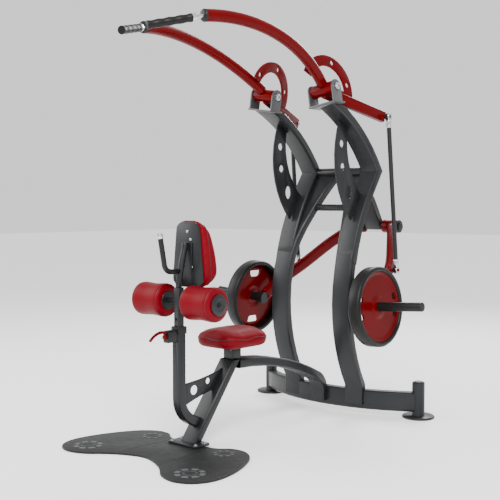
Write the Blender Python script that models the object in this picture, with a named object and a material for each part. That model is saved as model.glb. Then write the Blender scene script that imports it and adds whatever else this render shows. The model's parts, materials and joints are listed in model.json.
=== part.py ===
"""Plate-loaded lat pulldown machine with two independent pull arms.

Units are metres and +Z is up.  The user sits on the seat facing -Y with the chest on the pad and
the thighs under the rollers.  The machine is symmetric about the plane x = 0; +X is the right side
of the machine as drawn here.  Every welded or bolted neighbour keeps the air gap GAP.
"""

import math

import bmesh
import bpy
from mathutils import Matrix, Vector

# ---------------------------------------------------------------- clearances
GAP = 0.0004             # air left between pieces that are welded or bolted face to face
RUN = 0.0008             # running clearance of a shaft in its bore, all round
SLIDE = 0.0010           # side clearance of a piece that slides past another
WELD = 0.0030            # a plate stands this far out past the piece welded on it

# ---------------------------------------------------------------- overall sizes
SIDE_X = 0.222           # middle of each side frame, from the middle of the machine
ARM_X = 0.208            # middle of each pull arm's hinge
HUB_Y = -0.114           # pull arm hinge
HUB_Z = 1.833
ROLL = math.radians(9.0)     # the hinge axis rises this much towards the outside
SHAFT_Y = 0.700          # weight lever hinge
SHAFT_Z = 1.073
BASE_HALF = 0.545        # post to middle, along X
# ---------------------------------------------------------------- edges that parts share
RIM = 0.003              # small chamfer of turned rims
FINE_CORNER = 0.005      # chamfer of the tails, the outer post
SMALL_ROUND = 0.008      # rounding of small blocks

# ---------------------------------------------------------------- tubes
TUBE_W = 0.120           # big frame tube, across (X)
TUBE_D = 0.050           # big frame tube, through
WALL = 0.0035
CORNER = 0.008           # corner chamfer of the big tubes

# ---------------------------------------------------------------- base
BASE_D = 0.060
BASE_BOTTOM = 0.035
BASE_TOP = 0.145
BASE_FRONT_Y = 0.165     # middle of the crossmember at x = 0
BASE_BEND = 0.950        # its radius in plan, ends swept back
POST_R = 0.036
POST_TOP = 0.210
POST_DOME = 0.35         # rise of a post's domed top, as a share of its radius
POST_DOME_ANGLES = (30, 60, 80)      # degrees, where the dome has its rings
BASE_STEPS = 12
FOOT_BEVEL = 0.005
FOOT_R = 0.092
FOOT_T = 0.014

# ---------------------------------------------------------------- side frames
LEG_Y = 0.044            # leg where it stands upright
LEG_Z = 0.640
LEG_R_LOW = 0.900
LEG_R_HIGH = 0.850
LEG_LEAN = math.radians(31.5)
LEG_TOP_Z = 1.395
LEG_INTO_Z = 0.800       # above this height the leg bends inwards
LEG_INTO_R = 1.350
LEG_FOOT_Z = 0.172       # below this height the leg drops straight in front of the crossmember
LEG_END_Z = 0.062
KNEE_Y = 0.335
KNEE_Z = 1.402
NECK_R = 0.950           # bend of the upright above the knee
NECK_TOP_SLOPE = math.radians(25.0)
NECK_LOW_SLOPE = math.radians(57.0)
SHIN_SLOPE = math.radians(34.0)      # from vertical, below the knee
SHIN_LOW_SLOPE = math.radians(12.0)
SHIN_R = 1.150
SHIN_STRAIGHT = 0.150
CROSS_R = 0.026
BRACE_R = 0.020
BRACE_Z = 1.190

GUSSET_T = 0.010
GUSSET_TOP = (0.010, 1.680)          # (y, z) of its outline arcs
GUSSET_FRONT = (-0.034, 1.455)
GUSSET_FOOT = (0.120, 1.120)
GUSSET_FOOT_REAR = (0.230, 1.255)
GUSSET_REAR = (0.098, 1.440)
GUSSET_TOP_REAR = (0.085, 1.640)
GUSSET_HOLES = ((0.030, 1.548), (0.040, 1.420))
GUSSET_HOLE_R = 0.021
GUSSET_SLOT = (0.103, 1.280)
GUSSET_SLOT_R = 0.026
GUSSET_SLOT_STRETCH = 1.5

# ---------------------------------------------------------------- arm bracket
EAR_T = 0.010
EAR_W = 0.080
CLEVIS = 0.150           # between the ears
BRACKET_DROP = 0.090     # hinge axis down to the underside of the bracket base
BRACKET_REAR = 0.056     # the base reaches this far behind the hinge
PIN_HEAD_R = 0.020
PIN_HEAD_T = 0.008
PIN_R = 0.015
HUB_R = 0.036

# ---------------------------------------------------------------- pull arm
ARM_R = 0.030
ARM_WALL = 0.004
ARM_CAP_T = 0.012
ARM_STEPS = 13
ARM_RISE = 0.008         # the tube enters the hub this far above the hinge axis
ARM_MIDDLE = (0.2625, -0.550, 2.055)
ARM_END = (0.212, -1.045, 2.089)
CRESCENT_YAW = math.radians(7.0)     # the plate turns outwards towards the rear
CRESCENT_Y = 0.030       # its middle, from the hinge
CRESCENT_Z = 0.005
CRESCENT_R = 0.192
CRESCENT_BAND = 0.060
CRESCENT_T = 0.012
CRESCENT_HOLE_R = 0.014
CRESCENT_HOLES = (139, 71, 13)       # degrees, where its holes stand
CRESCENT_TIP = 152       # degrees, where the band ends at the front; then where it meets the hub
CRESCENT_OUTER_END = -16
CRESCENT_INNER_END = -2
CRESCENT_FOOT = ((0.020, -0.033), (0.006, 0.002), (0.030, 0.030))    # its foot on the hub
TAIL_DROP = 0.014        # the tail leaves the hub this far below the hinge axis
TAIL_END = (0.318, 0.301, 1.708)
TAIL_W = 0.036
TAIL_D = 0.062
GRIP_TIP = (0.088, -1.297, 2.023)
GRIP_R = 0.0205
GRIP_L = 0.222
SPINDLE_R = 0.011
COLLAR_R = 0.0195
COLLAR_L = 0.022
SPINDLE_STEP = 0.002     # inside the grip the spindle is this much thinner
GRIP_EDGE = 0.006        # rounding of the grip's ends
GRIP_FLOOR = 0.010       # thickness of the grip's closed end
GRIP_VENT_R = 0.004

# ---------------------------------------------------------------- weight levers
SHAFT_R = 0.015
SHAFT_BODY_R = 0.024
SHAFT_CAP_R = 0.022
SHAFT_CAP_T = 0.010
LEVER_CORNER = 0.012
LEVER_ARCH = 0.012       # the lever runs this much above the straight line between its ends
LEVER_LEAD = ((0.030, -0.045, -0.026), (0.104, -0.163, -0.108))     # its first points, from the shaft
LEVER_TOE = ((0.060, 0.036), (0.020, 0.012))        # its last points (y, z), from the horn
LEVER_HUB_IN = 0.072
LEVER_HUB_L = 0.104
LEVER_HUB_R = 0.041
LEVER_W = 0.046
LEVER_D = 0.068
PLATE_X = 0.406          # inner face of the weight plate
PLATE_Y = 0.052
PLATE_Z = 0.645
PLATE_R = 0.220
PLATE_T = 0.075
HORN_TILT = math.radians(4.0)        # the horn rises outwards, so that plates stay on it
HORN_R = 0.025
HORN_END_X = 0.738
SLEEVE_R = 0.034
SLEEVE_L = 0.046
SLEEVE_RUN = 0.020       # the seat of the sleeve is open this far beyond its inner end
HORN_EDGE = 0.004
PLATE_RIM = 0.010
EYE_OVERLAP = 0.004      # the rod's bar ends this far inside each eye
STUD_PROUD = 0.006       # the stud passes through the lower eye
BRACKET_ARCH = 0.040     # the rear bracket bows this much backwards and upwards
LOWER_EYE = (0.362, 0.385, 0.828)
STUD_R = 0.008
STUD_L = 0.014           # between the lever and the link rod's eye
EYE_R = 0.021
EYE_T = 0.020
EYE_PLAY = 0.0025        # the rod end tilts on its stud
ROD_R = 0.013
UPPER_EYE_OUT = 0.036    # upper eye, outboard of the tail's middle

# ---------------------------------------------------------------- front leg, beam and seat
FRONT_W = 0.105
FRONT_D = 0.045
FRONT_FOOT_Y = -0.952
FRONT_SLOPE = math.radians(52.7)     # from level
BEAM_W = 0.100
BEAM_D = 0.050
BEAM_Y = -0.620          # the beam is level here
BEAM_Z = 0.375
BEAM_BEND = 1.550
BEAM_TURN_R = 0.100      # its bend down in front of the crossmember
BEAM_PROUD = 0.012       # its middle, in front of the crossmember's front face
SEAT_Y = -0.630
SEAT_BOTTOM = 0.465
SEAT_PLATE_T = 0.006
SEAT_W = 0.270
SEAT_L = 0.310
SEAT_T = 0.066
SEAT_POST_W = 0.074
SEAT_POST_D = 0.066
SEAT_DOME = 0.018        # rise of the seat's middle over its edge
SEAT_CORNER = 0.085
SEAT_INSET = 0.045       # the seat plate stays this far inside the cushion
SEAT_PLATE_ROUND = 0.020
SEAT_POST_CORNER = 0.006
SEAT_POST_BORE_CORNER = 0.004
SEAT_STEPS = (           # (share of the outline, share of the height) up the cushion
    (0.93, 0.0), (1.0, 0.16), (1.0, 0.66), (0.97, 0.80), (0.80, 0.93), (0.50, 1.0))

# ---------------------------------------------------------------- foot platform
DECK_T = 0.010
DECK_OUTLINE = [         # right half of the deck's outline (x, y), front to rear
    (0.0, -1.252), (0.085, -1.272), (0.185, -1.325), (0.275, -1.397), (0.375, -1.422),
    (0.462, -1.383), (0.507, -1.290), (0.497, -1.165), (0.452, -1.035), (0.390, -0.930),
    (0.310, -0.872), (0.225, -0.874), (0.150, -0.925), (0.0, -0.935)]
FLANGE_W = 0.200
FLANGE_L = 0.110
FLANGE_T = 0.010
FLANGE_ROUND = 0.014

# ---------------------------------------------------------------- thigh and chest unit
POST_Y = -1.017
OUTER = 0.050            # square tube that is fixed
OUTER_WALL = 0.0035
OUTER_CORNER = 0.005
POST_TOP_Z = 0.605
POST_BEND_Z = 0.250
POST_BEND_R = 0.130
POST_BEND_TURN = math.radians(66.0)
GUSSET_POST_TOP = 0.316  # post gusset: heights on the post and on the leg, middles of its edges
GUSSET_POST_LOW = 0.192
GUSSET_HIGH = 0.372
GUSSET_LOW = 0.262
GUSSET_UPPER_MID = (-0.860, 0.328)
GUSSET_LOWER_MID = (-0.885, 0.236)
GUSSET_BIG_HOLE = (-0.915, 0.276)
GUSSET_SMALL_HOLE = (-0.816, 0.308)
GUSSET_BIG_HOLE_R = 0.025
GUSSET_SMALL_HOLE_R = 0.016
POST_GUSSET_T = 0.008
INNER = 0.038            # square tube that slides in it
INNER_WALL = 0.003
INNER_CORNER = 0.004
INNER_BORE_CORNER = 0.002
INNER_BOTTOM = 0.360
INNER_TOP = 0.800
HOLE_R = 0.0065
HOLE_PITCH = 0.040
HOLES = 6
PIN_Z = 0.565
PIN_SHANK_R = 0.0055
HOUSING_W = 0.040
HOUSING_H = 0.060
HOUSING_L = 0.062
LEVER_R = 0.0075
PIN_SHORT = 0.0005       # the pin stops this far short of the inside of the fixed post
PIN_BUTTON = 0.004       # the pull lever's root is this much thicker
PIN_BUTTON_L = 0.014
PULL_REACH = 0.104       # pull lever: its reach, and (share of the reach, rise) along it
PULL_SHAPE = ((0.07, 0.0), (0.10, 0.022), (0.42, 0.024), (0.76, 0.010), (1.0, -0.010))
ROLLER_Z = 0.732
AXLE_R = 0.0125
AXLE_PROUD = 0.004       # the axle passes this far through each outer cap
FOAM_EDGE = 0.014        # rounding of a roller's ends
CAP_EDGE = 0.006
ROLLER_IN = 0.074
ROLLER_L = 0.194
ROLLER_R = 0.084
ROLLER_WAIST = 0.079
CAP_R = 0.052
CAP_T = 0.010
PAD_Y = -0.957           # front face of the pad plate
PAD_PLATE_T = 0.010
PAD_T = 0.094            # at its thickest
PAD_LOW_Z = 0.792
PAD_TOP_Z = 1.130
PAD_W_LOW = 0.236
PAD_W_TOP = 0.170
PAD_CORNER = 0.050
PAD_BELLY = -0.15        # height of the thickest part, from -1 (low) to 1 (top)
PAD_THINNING = 0.62      # share of its thickness that the pad loses towards its ends
PAD_EDGE = 0.009         # how far the plate stays inside the pad's outline
PAD_STEPS = (            # (share of the outline, share of the thickness) out from the plate
    (1.0, 0.0), (1.0, 0.30), (0.96, 0.60), (0.82, 0.86), (0.52, 1.0))
PAD_ARM_R = 0.016
PAD_ARM_RISE = 0.030     # the pad arm runs straight this far at both ends
PAD_ARM_LEAN = 0.004
PAD_ARM_TOP_Z = 1.020
PAD_ARM_KNEE_Z = 0.925
HANDLE_R = 0.013
HANDLE_Z = 0.880
HANDLE_REACH = 0.098     # bend in front of the post
HANDLE_LEAN = 0.028      # its top stands this much further forward
HANDLE_TOP_Z = 1.068
HANDLE_BEND = 0.045
HANDLE_ROOT = 0.32       # where the handle starts inside the pad arm, as a share of the arm's reach

X_AXIS = Vector((1, 0, 0))
Y_AXIS = Vector((0, 1, 0))
Z_AXIS = Vector((0, 0, 1))
SIDES = (("right", 1), ("left", -1))


# ================================================================ small tools
def clear_scene():
    """Remove every object of the open file."""
    for obj in list(bpy.data.objects):
        bpy.data.objects.remove(obj, do_unlink=True)


def material(name, colour, roughness, metallic=0.0):
    """A Principled material of one colour (linear RGB)."""
    mat = bpy.data.materials.new(name)
    mat.use_nodes = True
    shader = mat.node_tree.nodes["Principled BSDF"]
    shader.inputs["Base Color"].default_value = (*colour, 1.0)
    shader.inputs["Roughness"].default_value = roughness
    shader.inputs["Metallic"].default_value = metallic
    mat.diffuse_color = (*colour, 1.0)
    return mat


def finishes():
    """The finishes of the machine, by name."""
    return {
        "frame": ((0.045, 0.046, 0.048), 0.42, 0.3),
        "red": ((0.36, 0.008, 0.010), 0.22, 0.1),
        "cushion": ((0.50, 0.008, 0.020), 0.48, 0.0),
        "black": ((0.016, 0.016, 0.017), 0.45, 0.0),
        "rubber": ((0.020, 0.020, 0.020), 0.70, 0.0),
        "chrome": ((0.75, 0.75, 0.76), 0.15, 1.0),
        "deck": ((0.050, 0.051, 0.053), 0.60, 0.0),
    }


def make_object(name, points, faces, finish, origin=(0, 0, 0)):
    """Put points (world) and faces into a named object whose origin is at the given place."""
    base = Vector(origin)
    mesh = bpy.data.meshes.new(name)
    mesh.from_pydata([tuple(Vector(p) - base) for p in points], [], faces)
    tidy = bmesh.new()
    tidy.from_mesh(mesh)
    bmesh.ops.recalc_face_normals(tidy, faces=tidy.faces)
    tidy.to_mesh(mesh)
    tidy.free()
    mesh.shade_smooth()
    mesh.set_sharp_from_angle(angle=math.radians(35))
    mat = material(name + "_finish", *finishes()[finish])
    mesh.materials.append(mat)
    obj = bpy.data.objects.new(name, mesh)
    obj.location = base
    bpy.context.scene.collection.objects.link(obj)
    return obj


def guide(obj):
    """Turn an object into a cutter that is not a piece of the machine."""
    obj.hide_render = True
    obj.display_type = "WIRE"
    return obj


def boolean(obj, cutter, operation="DIFFERENCE"):
    """Cut a cutter out of an object, or join it to the object."""
    mod = obj.modifiers.new(operation.title(), "BOOLEAN")
    mod.operation = operation
    mod.solver = "EXACT"
    mod.object = cutter
    return obj


def box_section(width, depth, chamfer=0.0):
    """Outline of a rectangle with chamfered corners, as (across, through) pairs."""
    a = width / 2
    b = depth / 2
    if chamfer <= 0:
        return [(-a, -b), (a, -b), (a, b), (-a, b)]
    c = chamfer
    return [(-a + c, -b), (a - c, -b), (a, -b + c), (a, b - c),
            (a - c, b), (-a + c, b), (-a, b - c), (-a, -b + c)]


def round_section(radius, sides):
    """Outline of a circle as (across, through) pairs."""
    step = 2 * math.pi / sides
    return [(radius * math.cos(step * i), radius * math.sin(step * i)) for i in range(sides)]


def arc(centre, radius, start, end, steps):
    """Points of an arc in the YZ plane; angles run from +Y towards +Z."""
    points = []
    for i in range(steps + 1):
        angle = start + (end - start) * i / steps
        points.append((centre[0] + radius * math.cos(angle), centre[1] + radius * math.sin(angle)))
    return points


def rings(path, section, across):
    """Carry a section along a path; each bend is mitred so that the tube keeps its width."""
    path = [Vector(p) for p in path]
    runs = [(b - a).normalized() for a, b in zip(path, path[1:])]
    first = runs[0]
    u = (Vector(across) - first * first.dot(Vector(across))).normalized()
    v = first.cross(u)
    ring = [path[0] + u * s + v * t for s, t in section]
    result = [ring]
    for i, run in enumerate(runs):
        ahead = runs[min(i + 1, len(runs) - 1)]
        normal = (run + ahead).normalized()
        centre = path[i + 1]
        ring = [p + run * ((centre - p).dot(normal) / run.dot(normal)) for p in ring]
        result.append(ring)
    return result


def sweep(name, path, section, finish, across=X_AXIS, inner=None, origin=(0, 0, 0)):
    """A bar or, with an inner outline, an open-ended tube along a path."""
    outer = rings(path, section, across)
    count = len(section)
    points = [p for ring in outer for p in ring]
    faces = []
    last = len(outer) - 1
    for i in range(last):
        for j in range(count):
            k = (j + 1) % count
            faces.append((i * count + j, i * count + k, (i + 1) * count + k, (i + 1) * count + j))
    if inner is None:
        faces.append(tuple(range(count)))
        faces.append(tuple(last * count + j for j in range(count)))
        return make_object(name, points, faces, finish, origin)
    shift = len(points)
    points += [p for ring in rings(path, inner, across) for p in ring]
    for i in range(last):
        for j in range(count):
            k = (j + 1) % count
            faces.append((shift + i * count + j, shift + (i + 1) * count + j,
                          shift + (i + 1) * count + k, shift + i * count + k))
    for j in range(count):
        k = (j + 1) % count
        faces.append((j, k, shift + k, shift + j))
        end = last * count
        faces.append((end + j, shift + end + j, shift + end + k, end + k))
    return make_object(name, points, faces, finish, origin)


def turned(name, profile, centre, axis, finish, sides=24, bored=False, origin=(0, 0, 0)):
    """A turned piece; profile is (along, radius) pairs, a closed loop when the piece is bored."""
    axis = Vector(axis).normalized()
    u = axis.orthogonal().normalized()
    v = axis.cross(u)
    centre = Vector(centre)
    points = []
    for along, radius in profile:
        for i in range(sides):
            angle = 2 * math.pi * i / sides
            points.append(centre + axis * along + (u * math.cos(angle) + v * math.sin(angle)) * radius)
    faces = []
    rows = len(profile)
    for i in range(rows if bored else rows - 1):
        n = (i + 1) % rows
        for j in range(sides):
            k = (j + 1) % sides
            faces.append((i * sides + j, i * sides + k, n * sides + k, n * sides + j))
    if not bored:
        faces.append(tuple(range(sides)))
        faces.append(tuple((rows - 1) * sides + j for j in range(sides)))
    return make_object(name, points, faces, finish, origin)


def plate(name, outline, thickness, place, finish, holes=(), origin=(0, 0, 0)):
    """A flat plate: its outline and holes in the plane of `place`, thick along the place's Z."""
    flat = bmesh.new()
    for loop in (outline, *holes):
        verts = [flat.verts.new((x, y, -thickness / 2)) for x, y in loop]
        for a, b in zip(verts, verts[1:] + verts[:1]):
            flat.edges.new((a, b))
    bmesh.ops.triangle_fill(flat, edges=list(flat.edges), use_beauty=True, use_dissolve=False)
    grown = bmesh.ops.extrude_face_region(flat, geom=list(flat.faces))
    moved = [item for item in grown["geom"] if isinstance(item, bmesh.types.BMVert)]
    bmesh.ops.translate(flat, verts=moved, vec=(0, 0, thickness))
    bmesh.ops.transform(flat, matrix=place, verts=flat.verts)
    flat.verts.index_update()
    points = [v.co.copy() for v in flat.verts]
    faces = [tuple(v.index for v in f.verts) for f in flat.faces]
    flat.free()
    return make_object(name, points, faces, finish, origin)


def yz_plane(x):
    """Place for a plate that stands across X: its outline is given in (y, z)."""
    return Matrix(((0, 0, 1, x), (1, 0, 0, 0), (0, 1, 0, 0), (0, 0, 0, 1)))


def circle(centre, radius, sides=12):
    """A round hole's outline."""
    return [(centre[0] + x, centre[1] + y) for x, y in round_section(radius, sides)]


def through_three(a, b, c, steps):
    """Points of the circular arc from a to c that passes through b."""
    ax, ay = a
    bx, by = b
    cx, cy = c
    d = 2 * (ax * (by - cy) + bx * (cy - ay) + cx * (ay - by))
    ux = ((ax**2 + ay**2) * (by - cy) + (bx**2 + by**2) * (cy - ay) + (cx**2 + cy**2) * (ay - by)) / d
    uy = ((ax**2 + ay**2) * (cx - bx) + (bx**2 + by**2) * (ax - cx) + (cx**2 + cy**2) * (bx - ax)) / d
    radius = math.hypot(ax - ux, ay - uy)
    start = math.atan2(ay - uy, ax - ux)
    middle = math.atan2(by - uy, bx - ux)
    end = math.atan2(cy - uy, cx - ux)
    turn = (middle - start) % (2 * math.pi)
    sweep_angle = (end - start) % (2 * math.pi)
    if turn > sweep_angle:
        sweep_angle -= 2 * math.pi
    return arc((ux, uy), radius, start, start + sweep_angle, steps)


def rounded(corners, radius, steps=3):
    """A closed outline of straight sides whose corners are rounded by arcs."""
    result = []
    count = len(corners)
    for i in range(count):
        here = Vector((*corners[i], 0))
        before = (Vector((*corners[i - 1], 0)) - here).normalized()
        after = (Vector((*corners[(i + 1) % count], 0)) - here).normalized()
        half = before.angle(after) / 2
        reach = radius / math.tan(half)
        middle = here + (before + after).normalized() * (radius / math.sin(half))
        start = here + before * reach - middle
        end = here + after * reach - middle
        for k in range(steps + 1):
            spoke = start.lerp(end, k / steps).normalized() * radius
            result.append((middle.x + spoke.x, middle.y + spoke.y))
    return result


def smooth_loop(corners, steps):
    """A closed smooth curve through the given points (Catmull-Rom)."""
    count = len(corners)
    result = []
    for i in range(count):
        p0, p1, p2, p3 = (Vector((*corners[(i + k) % count], 0)) for k in (-1, 0, 1, 2))
        for k in range(steps):
            t = k / steps
            point = 0.5 * ((2 * p1) + (p2 - p0) * t + (2 * p0 - 5 * p1 + 4 * p2 - p3) * t * t
                           + (3 * p1 - p0 - 3 * p2 + p3) * t * t * t)
            result.append((point.x, point.y))
    return result


# ================================================================ shared geometry
def hinge_axis(side):
    """Direction of a pull arm's hinge, pointing outwards."""
    return Vector((side * math.cos(ROLL), 0, math.sin(ROLL)))


def hub_point(side):
    """Middle of a pull arm's hinge."""
    return Vector((side * ARM_X, HUB_Y, HUB_Z))


def base_point(x):
    """Middle line of the crossmember at a given x, seen from above."""
    return BASE_FRONT_Y + BASE_BEND - math.sqrt(BASE_BEND**2 - x**2)


def base_path():
    """Middle line of the crossmember from its left end to its right end."""
    height = (BASE_BOTTOM + BASE_TOP) / 2
    path = []
    for i in range(BASE_STEPS + 1):
        x = -BASE_HALF + 2 * BASE_HALF * i / BASE_STEPS
        path.append((x, base_point(x), height))
    return path


def leg_path(side):
    """Middle line of a main leg, from in front of the crossmember to the upper cross tube."""
    low = []
    drop = math.asin((LEG_Z - LEG_FOOT_Z) / LEG_R_LOW)
    for y, z in arc((LEG_Y + LEG_R_LOW, LEG_Z), LEG_R_LOW, math.pi + drop, math.pi, 6):
        low.append((y, z))
    high = arc((LEG_Y + LEG_R_HIGH, LEG_Z), LEG_R_HIGH, math.pi, math.pi - LEG_LEAN, 5)[1:]
    points = [(low[0][0], LEG_END_Z)] + low + high
    y, z = points[-1]
    for k in (1, 2, 3):
        height = z + (LEG_TOP_Z - z) * k / 3
        points.append((y + (height - z) * math.tan(LEG_LEAN), height))
    path = []
    for y, z in points:
        rise = max(0.0, z - LEG_INTO_Z)
        inward = LEG_INTO_R - math.sqrt(LEG_INTO_R**2 - rise**2)
        path.append((side * (SIDE_X - inward), y, z))
    return path


def upright_path(side):
    """Middle line of an upright: from the arm bracket down to the knee, then onto the leg."""
    steps = 7
    neck = []
    centre_y = KNEE_Y - NECK_R * math.sin(NECK_LOW_SLOPE)
    centre_z = KNEE_Z - NECK_R * math.cos(NECK_LOW_SLOPE)
    for i in range(steps + 1):
        slope = NECK_TOP_SLOPE + (NECK_LOW_SLOPE - NECK_TOP_SLOPE) * i / steps
        neck.append((centre_y + NECK_R * math.sin(slope), centre_z + NECK_R * math.cos(slope)))
    first = Vector((0, *neck[0]))
    ahead = Vector((0, -math.cos(NECK_TOP_SLOPE), math.sin(NECK_TOP_SLOPE)))
    lead = first + ahead * 0.12
    shin_y = KNEE_Y - SHIN_STRAIGHT * math.sin(SHIN_SLOPE)
    shin_z = KNEE_Z - SHIN_STRAIGHT * math.cos(SHIN_SLOPE)
    bend_y = shin_y + SHIN_R * math.cos(SHIN_SLOPE)
    bend_z = shin_z - SHIN_R * math.sin(SHIN_SLOPE)
    shin = []
    for i in range(1, 6):
        slope = SHIN_SLOPE + (SHIN_LOW_SLOPE - SHIN_SLOPE) * i / 5
        shin.append((bend_y - SHIN_R * math.cos(slope), bend_z + SHIN_R * math.sin(slope)))
    points = [(lead.y, lead.z)] + neck + [(shin_y, shin_z)] + shin
    return [(side * SIDE_X, y, z) for y, z in points]


def front_leg_path():
    """Middle line of the front leg, from below the deck to above the beam."""
    lean = 1 / math.tan(FRONT_SLOPE)
    return [(0, FRONT_FOOT_Y + z * lean, z) for z in (0.0, BEAM_Z + BEAM_D)]


def beam_path():
    """Middle line of the seat beam: a wide arc, then a short bend down at the crossmember."""
    end_y = BASE_FRONT_Y - BASE_D / 2 - BEAM_PROUD
    slope = math.asin((end_y - BEAM_Y - BEAM_TURN_R) / (BEAM_BEND - BEAM_TURN_R))
    half = math.pi / 2
    centre = (BEAM_Y, BEAM_Z - BEAM_BEND)
    points = arc(centre, BEAM_BEND, half, half - slope, 7)
    y, z = points[-1]
    turn = (y - BEAM_TURN_R * math.sin(slope), z - BEAM_TURN_R * math.cos(slope))
    points += arc(turn, BEAM_TURN_R, half - slope, 0, 5)[1:]
    points.append((points[-1][0], LEG_END_Z))
    return [(0, y, z) for y, z in points]


def thigh_post_path():
    """Middle line of the fixed post: straight down, then round to the front leg."""
    sweep_angle = POST_BEND_TURN
    centre = (POST_Y + POST_BEND_R, POST_BEND_Z)
    points = [(POST_Y, POST_TOP_Z)] + arc(centre, POST_BEND_R, math.pi, math.pi + sweep_angle, 6)
    y, z = points[-1]
    ahead = (math.sin(sweep_angle), -math.cos(sweep_angle))
    lean = 1 / math.tan(FRONT_SLOPE)
    run = (FRONT_FOOT_Y + z * lean - y) / (ahead[0] - ahead[1] * lean)
    points.append((y + ahead[0] * run, z + ahead[1] * run))
    return [(0, y, z) for y, z in points]


def curve_through(points, steps):
    """An open smooth curve through 3-D points (Catmull-Rom)."""
    points = [Vector(p) for p in points]
    padded = [2 * points[0] - points[1]] + points + [2 * points[-1] - points[-2]]
    result = []
    for i in range(1, len(padded) - 2):
        p0, p1, p2, p3 = padded[i - 1:i + 3]
        for k in range(steps):
            t = k / steps
            result.append(0.5 * (2 * p1 + (p2 - p0) * t + (2 * p0 - 5 * p1 + 4 * p2 - p3) * t * t
                                 + (3 * p1 - p0 - 3 * p2 + p3) * t**3))
    result.append(points[-1])
    return result


def lever_path(side):
    """Middle line of a weight lever: from its hub outwards and forwards to the horn."""
    eye_x, eye_y, eye_z = LOWER_EYE
    beside = eye_x - EYE_T / 2 - STUD_L - LEVER_W / 2
    hub_x = LEVER_HUB_IN + LEVER_HUB_L / 2
    horn_x = PLATE_X - SLEEVE_L / 2 - 2 * WELD
    route = [(hub_x, SHAFT_Y, SHAFT_Z)]
    for x, y, z in LEVER_LEAD:
        route.append((hub_x + x, SHAFT_Y + y, SHAFT_Z + z))
    route.append((beside, eye_y, eye_z + LEVER_ARCH))
    route.append((0.5 * (beside + horn_x) + LEVER_ARCH, 0.5 * (eye_y + PLATE_Y),
                  0.5 * (eye_z + PLATE_Z) + LEVER_ARCH))
    for y, z in LEVER_TOE:
        route.append((horn_x, PLATE_Y + y, PLATE_Z + z))
    return [(side * p.x, p.y, p.z) for p in curve_through(route, 3)]


def tail_path(side):
    """Middle line of an arm's tail, from the hinge to the link rod."""
    return [(side * ARM_X, HUB_Y, HUB_Z - TAIL_DROP), (side * TAIL_END[0], TAIL_END[1], TAIL_END[2])]


def arm_path(side):
    """Middle line of a pull arm: one arc from the hinge forwards."""
    start = Vector((ARM_X, HUB_Y, HUB_Z + ARM_RISE))
    middle = Vector(ARM_MIDDLE)
    end = Vector(ARM_END)
    ahead = end - start
    bulge = middle - start
    normal = bulge.cross(ahead)
    centre = start + (normal.cross(bulge) * ahead.length_squared
                      + ahead.cross(normal) * bulge.length_squared) / (2 * normal.length_squared)
    spoke = start - centre
    turn = spoke.angle(end - centre)
    points = [centre + Matrix.Rotation(turn * i / ARM_STEPS, 3, normal) @ spoke
              for i in range(ARM_STEPS + 1)]
    return [(side * p.x, p.y, p.z) for p in points]


def rolled_place(side, along=0.0, yaw=0.0):
    """Frame at a pull arm's hinge: local x rearwards, local y up the bracket, local z outwards."""
    rear = Vector((side * math.sin(yaw), math.cos(yaw), 0))
    up = Vector((-side * math.sin(ROLL), 0, math.cos(ROLL)))
    up = (up - rear * up.dot(rear)).normalized()
    axis = up.cross(rear) * -side
    centre = hub_point(side) + axis * along
    return Matrix(((rear.x, up.x, axis.x, centre.x), (rear.y, up.y, axis.y, centre.y),
                   (rear.z, up.z, axis.z, centre.z), (0, 0, 0, 1)))


def xz_plane(y):
    """Place for a plate that stands across Y: its outline is given in (x, z)."""
    return Matrix(((1, 0, 0, 0), (0, 0, -1, y), (0, 1, 0, 0), (0, 0, 0, 1)))


def xy_plane(z):
    """Place for a level plate: its outline is given in (x, y)."""
    return Matrix.Translation((0, 0, z))


def rectangle(x0, y0, x1, y1):
    """Corners of a rectangle."""
    return [(x0, y0), (x1, y0), (x1, y1), (x0, y1)]


def rod(name, start, end, radius, sides=16, finish="frame"):
    """A plain round bar between two points."""
    run = Vector(end) - Vector(start)
    return turned(name, [(0, radius), (run.length, radius)], start, run, finish, sides)


# ================================================================ base and side frames
def build_base():
    """Crossmember and its two posts, each post with its foot disc."""
    height = BASE_TOP - BASE_BOTTOM
    outer = box_section(height, BASE_D, CORNER)
    inner = box_section(height - 2 * WALL, BASE_D - 2 * WALL, CORNER - WALL / 2)
    cross = sweep("base_crossmember", base_path(), outer, "frame", Z_AXIS, inner)
    dome = POST_R * POST_DOME
    profile = [(0, FOOT_R - RIM), (RIM, FOOT_R), (FOOT_T - RIM, FOOT_R), (FOOT_T, FOOT_R - FOOT_BEVEL),
               (FOOT_T, POST_R), (POST_TOP - dome, POST_R)]
    for angle in POST_DOME_ANGLES:
        turn = math.radians(angle)
        profile.append((POST_TOP - dome + dome * math.sin(turn), POST_R * math.cos(turn)))
    for label, side in SIDES:
        foot = (side * BASE_HALF, base_point(BASE_HALF), 0)
        turned("base_post_" + label, profile, foot, Z_AXIS, "frame", 20)
        cut = guide(rod("cut_post_" + label, foot, (foot[0], foot[1], POST_TOP), POST_R + GAP, 20))
        boolean(cross, cut)
    return cross


def room(name, path, width, depth, chamfer, across=X_AXIS):
    """Cutter that leaves the air gap all round a rectangular tube, at its ends as well."""
    path = [Vector(p) for p in path]
    path[0] += (path[0] - path[1]).normalized() * GAP
    path[-1] += (path[-1] - path[-2]).normalized() * GAP
    section = box_section(width + 2 * GAP, depth + 2 * GAP, chamfer)
    return guide(sweep("cut_" + name, path, section, "frame", across))


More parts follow.
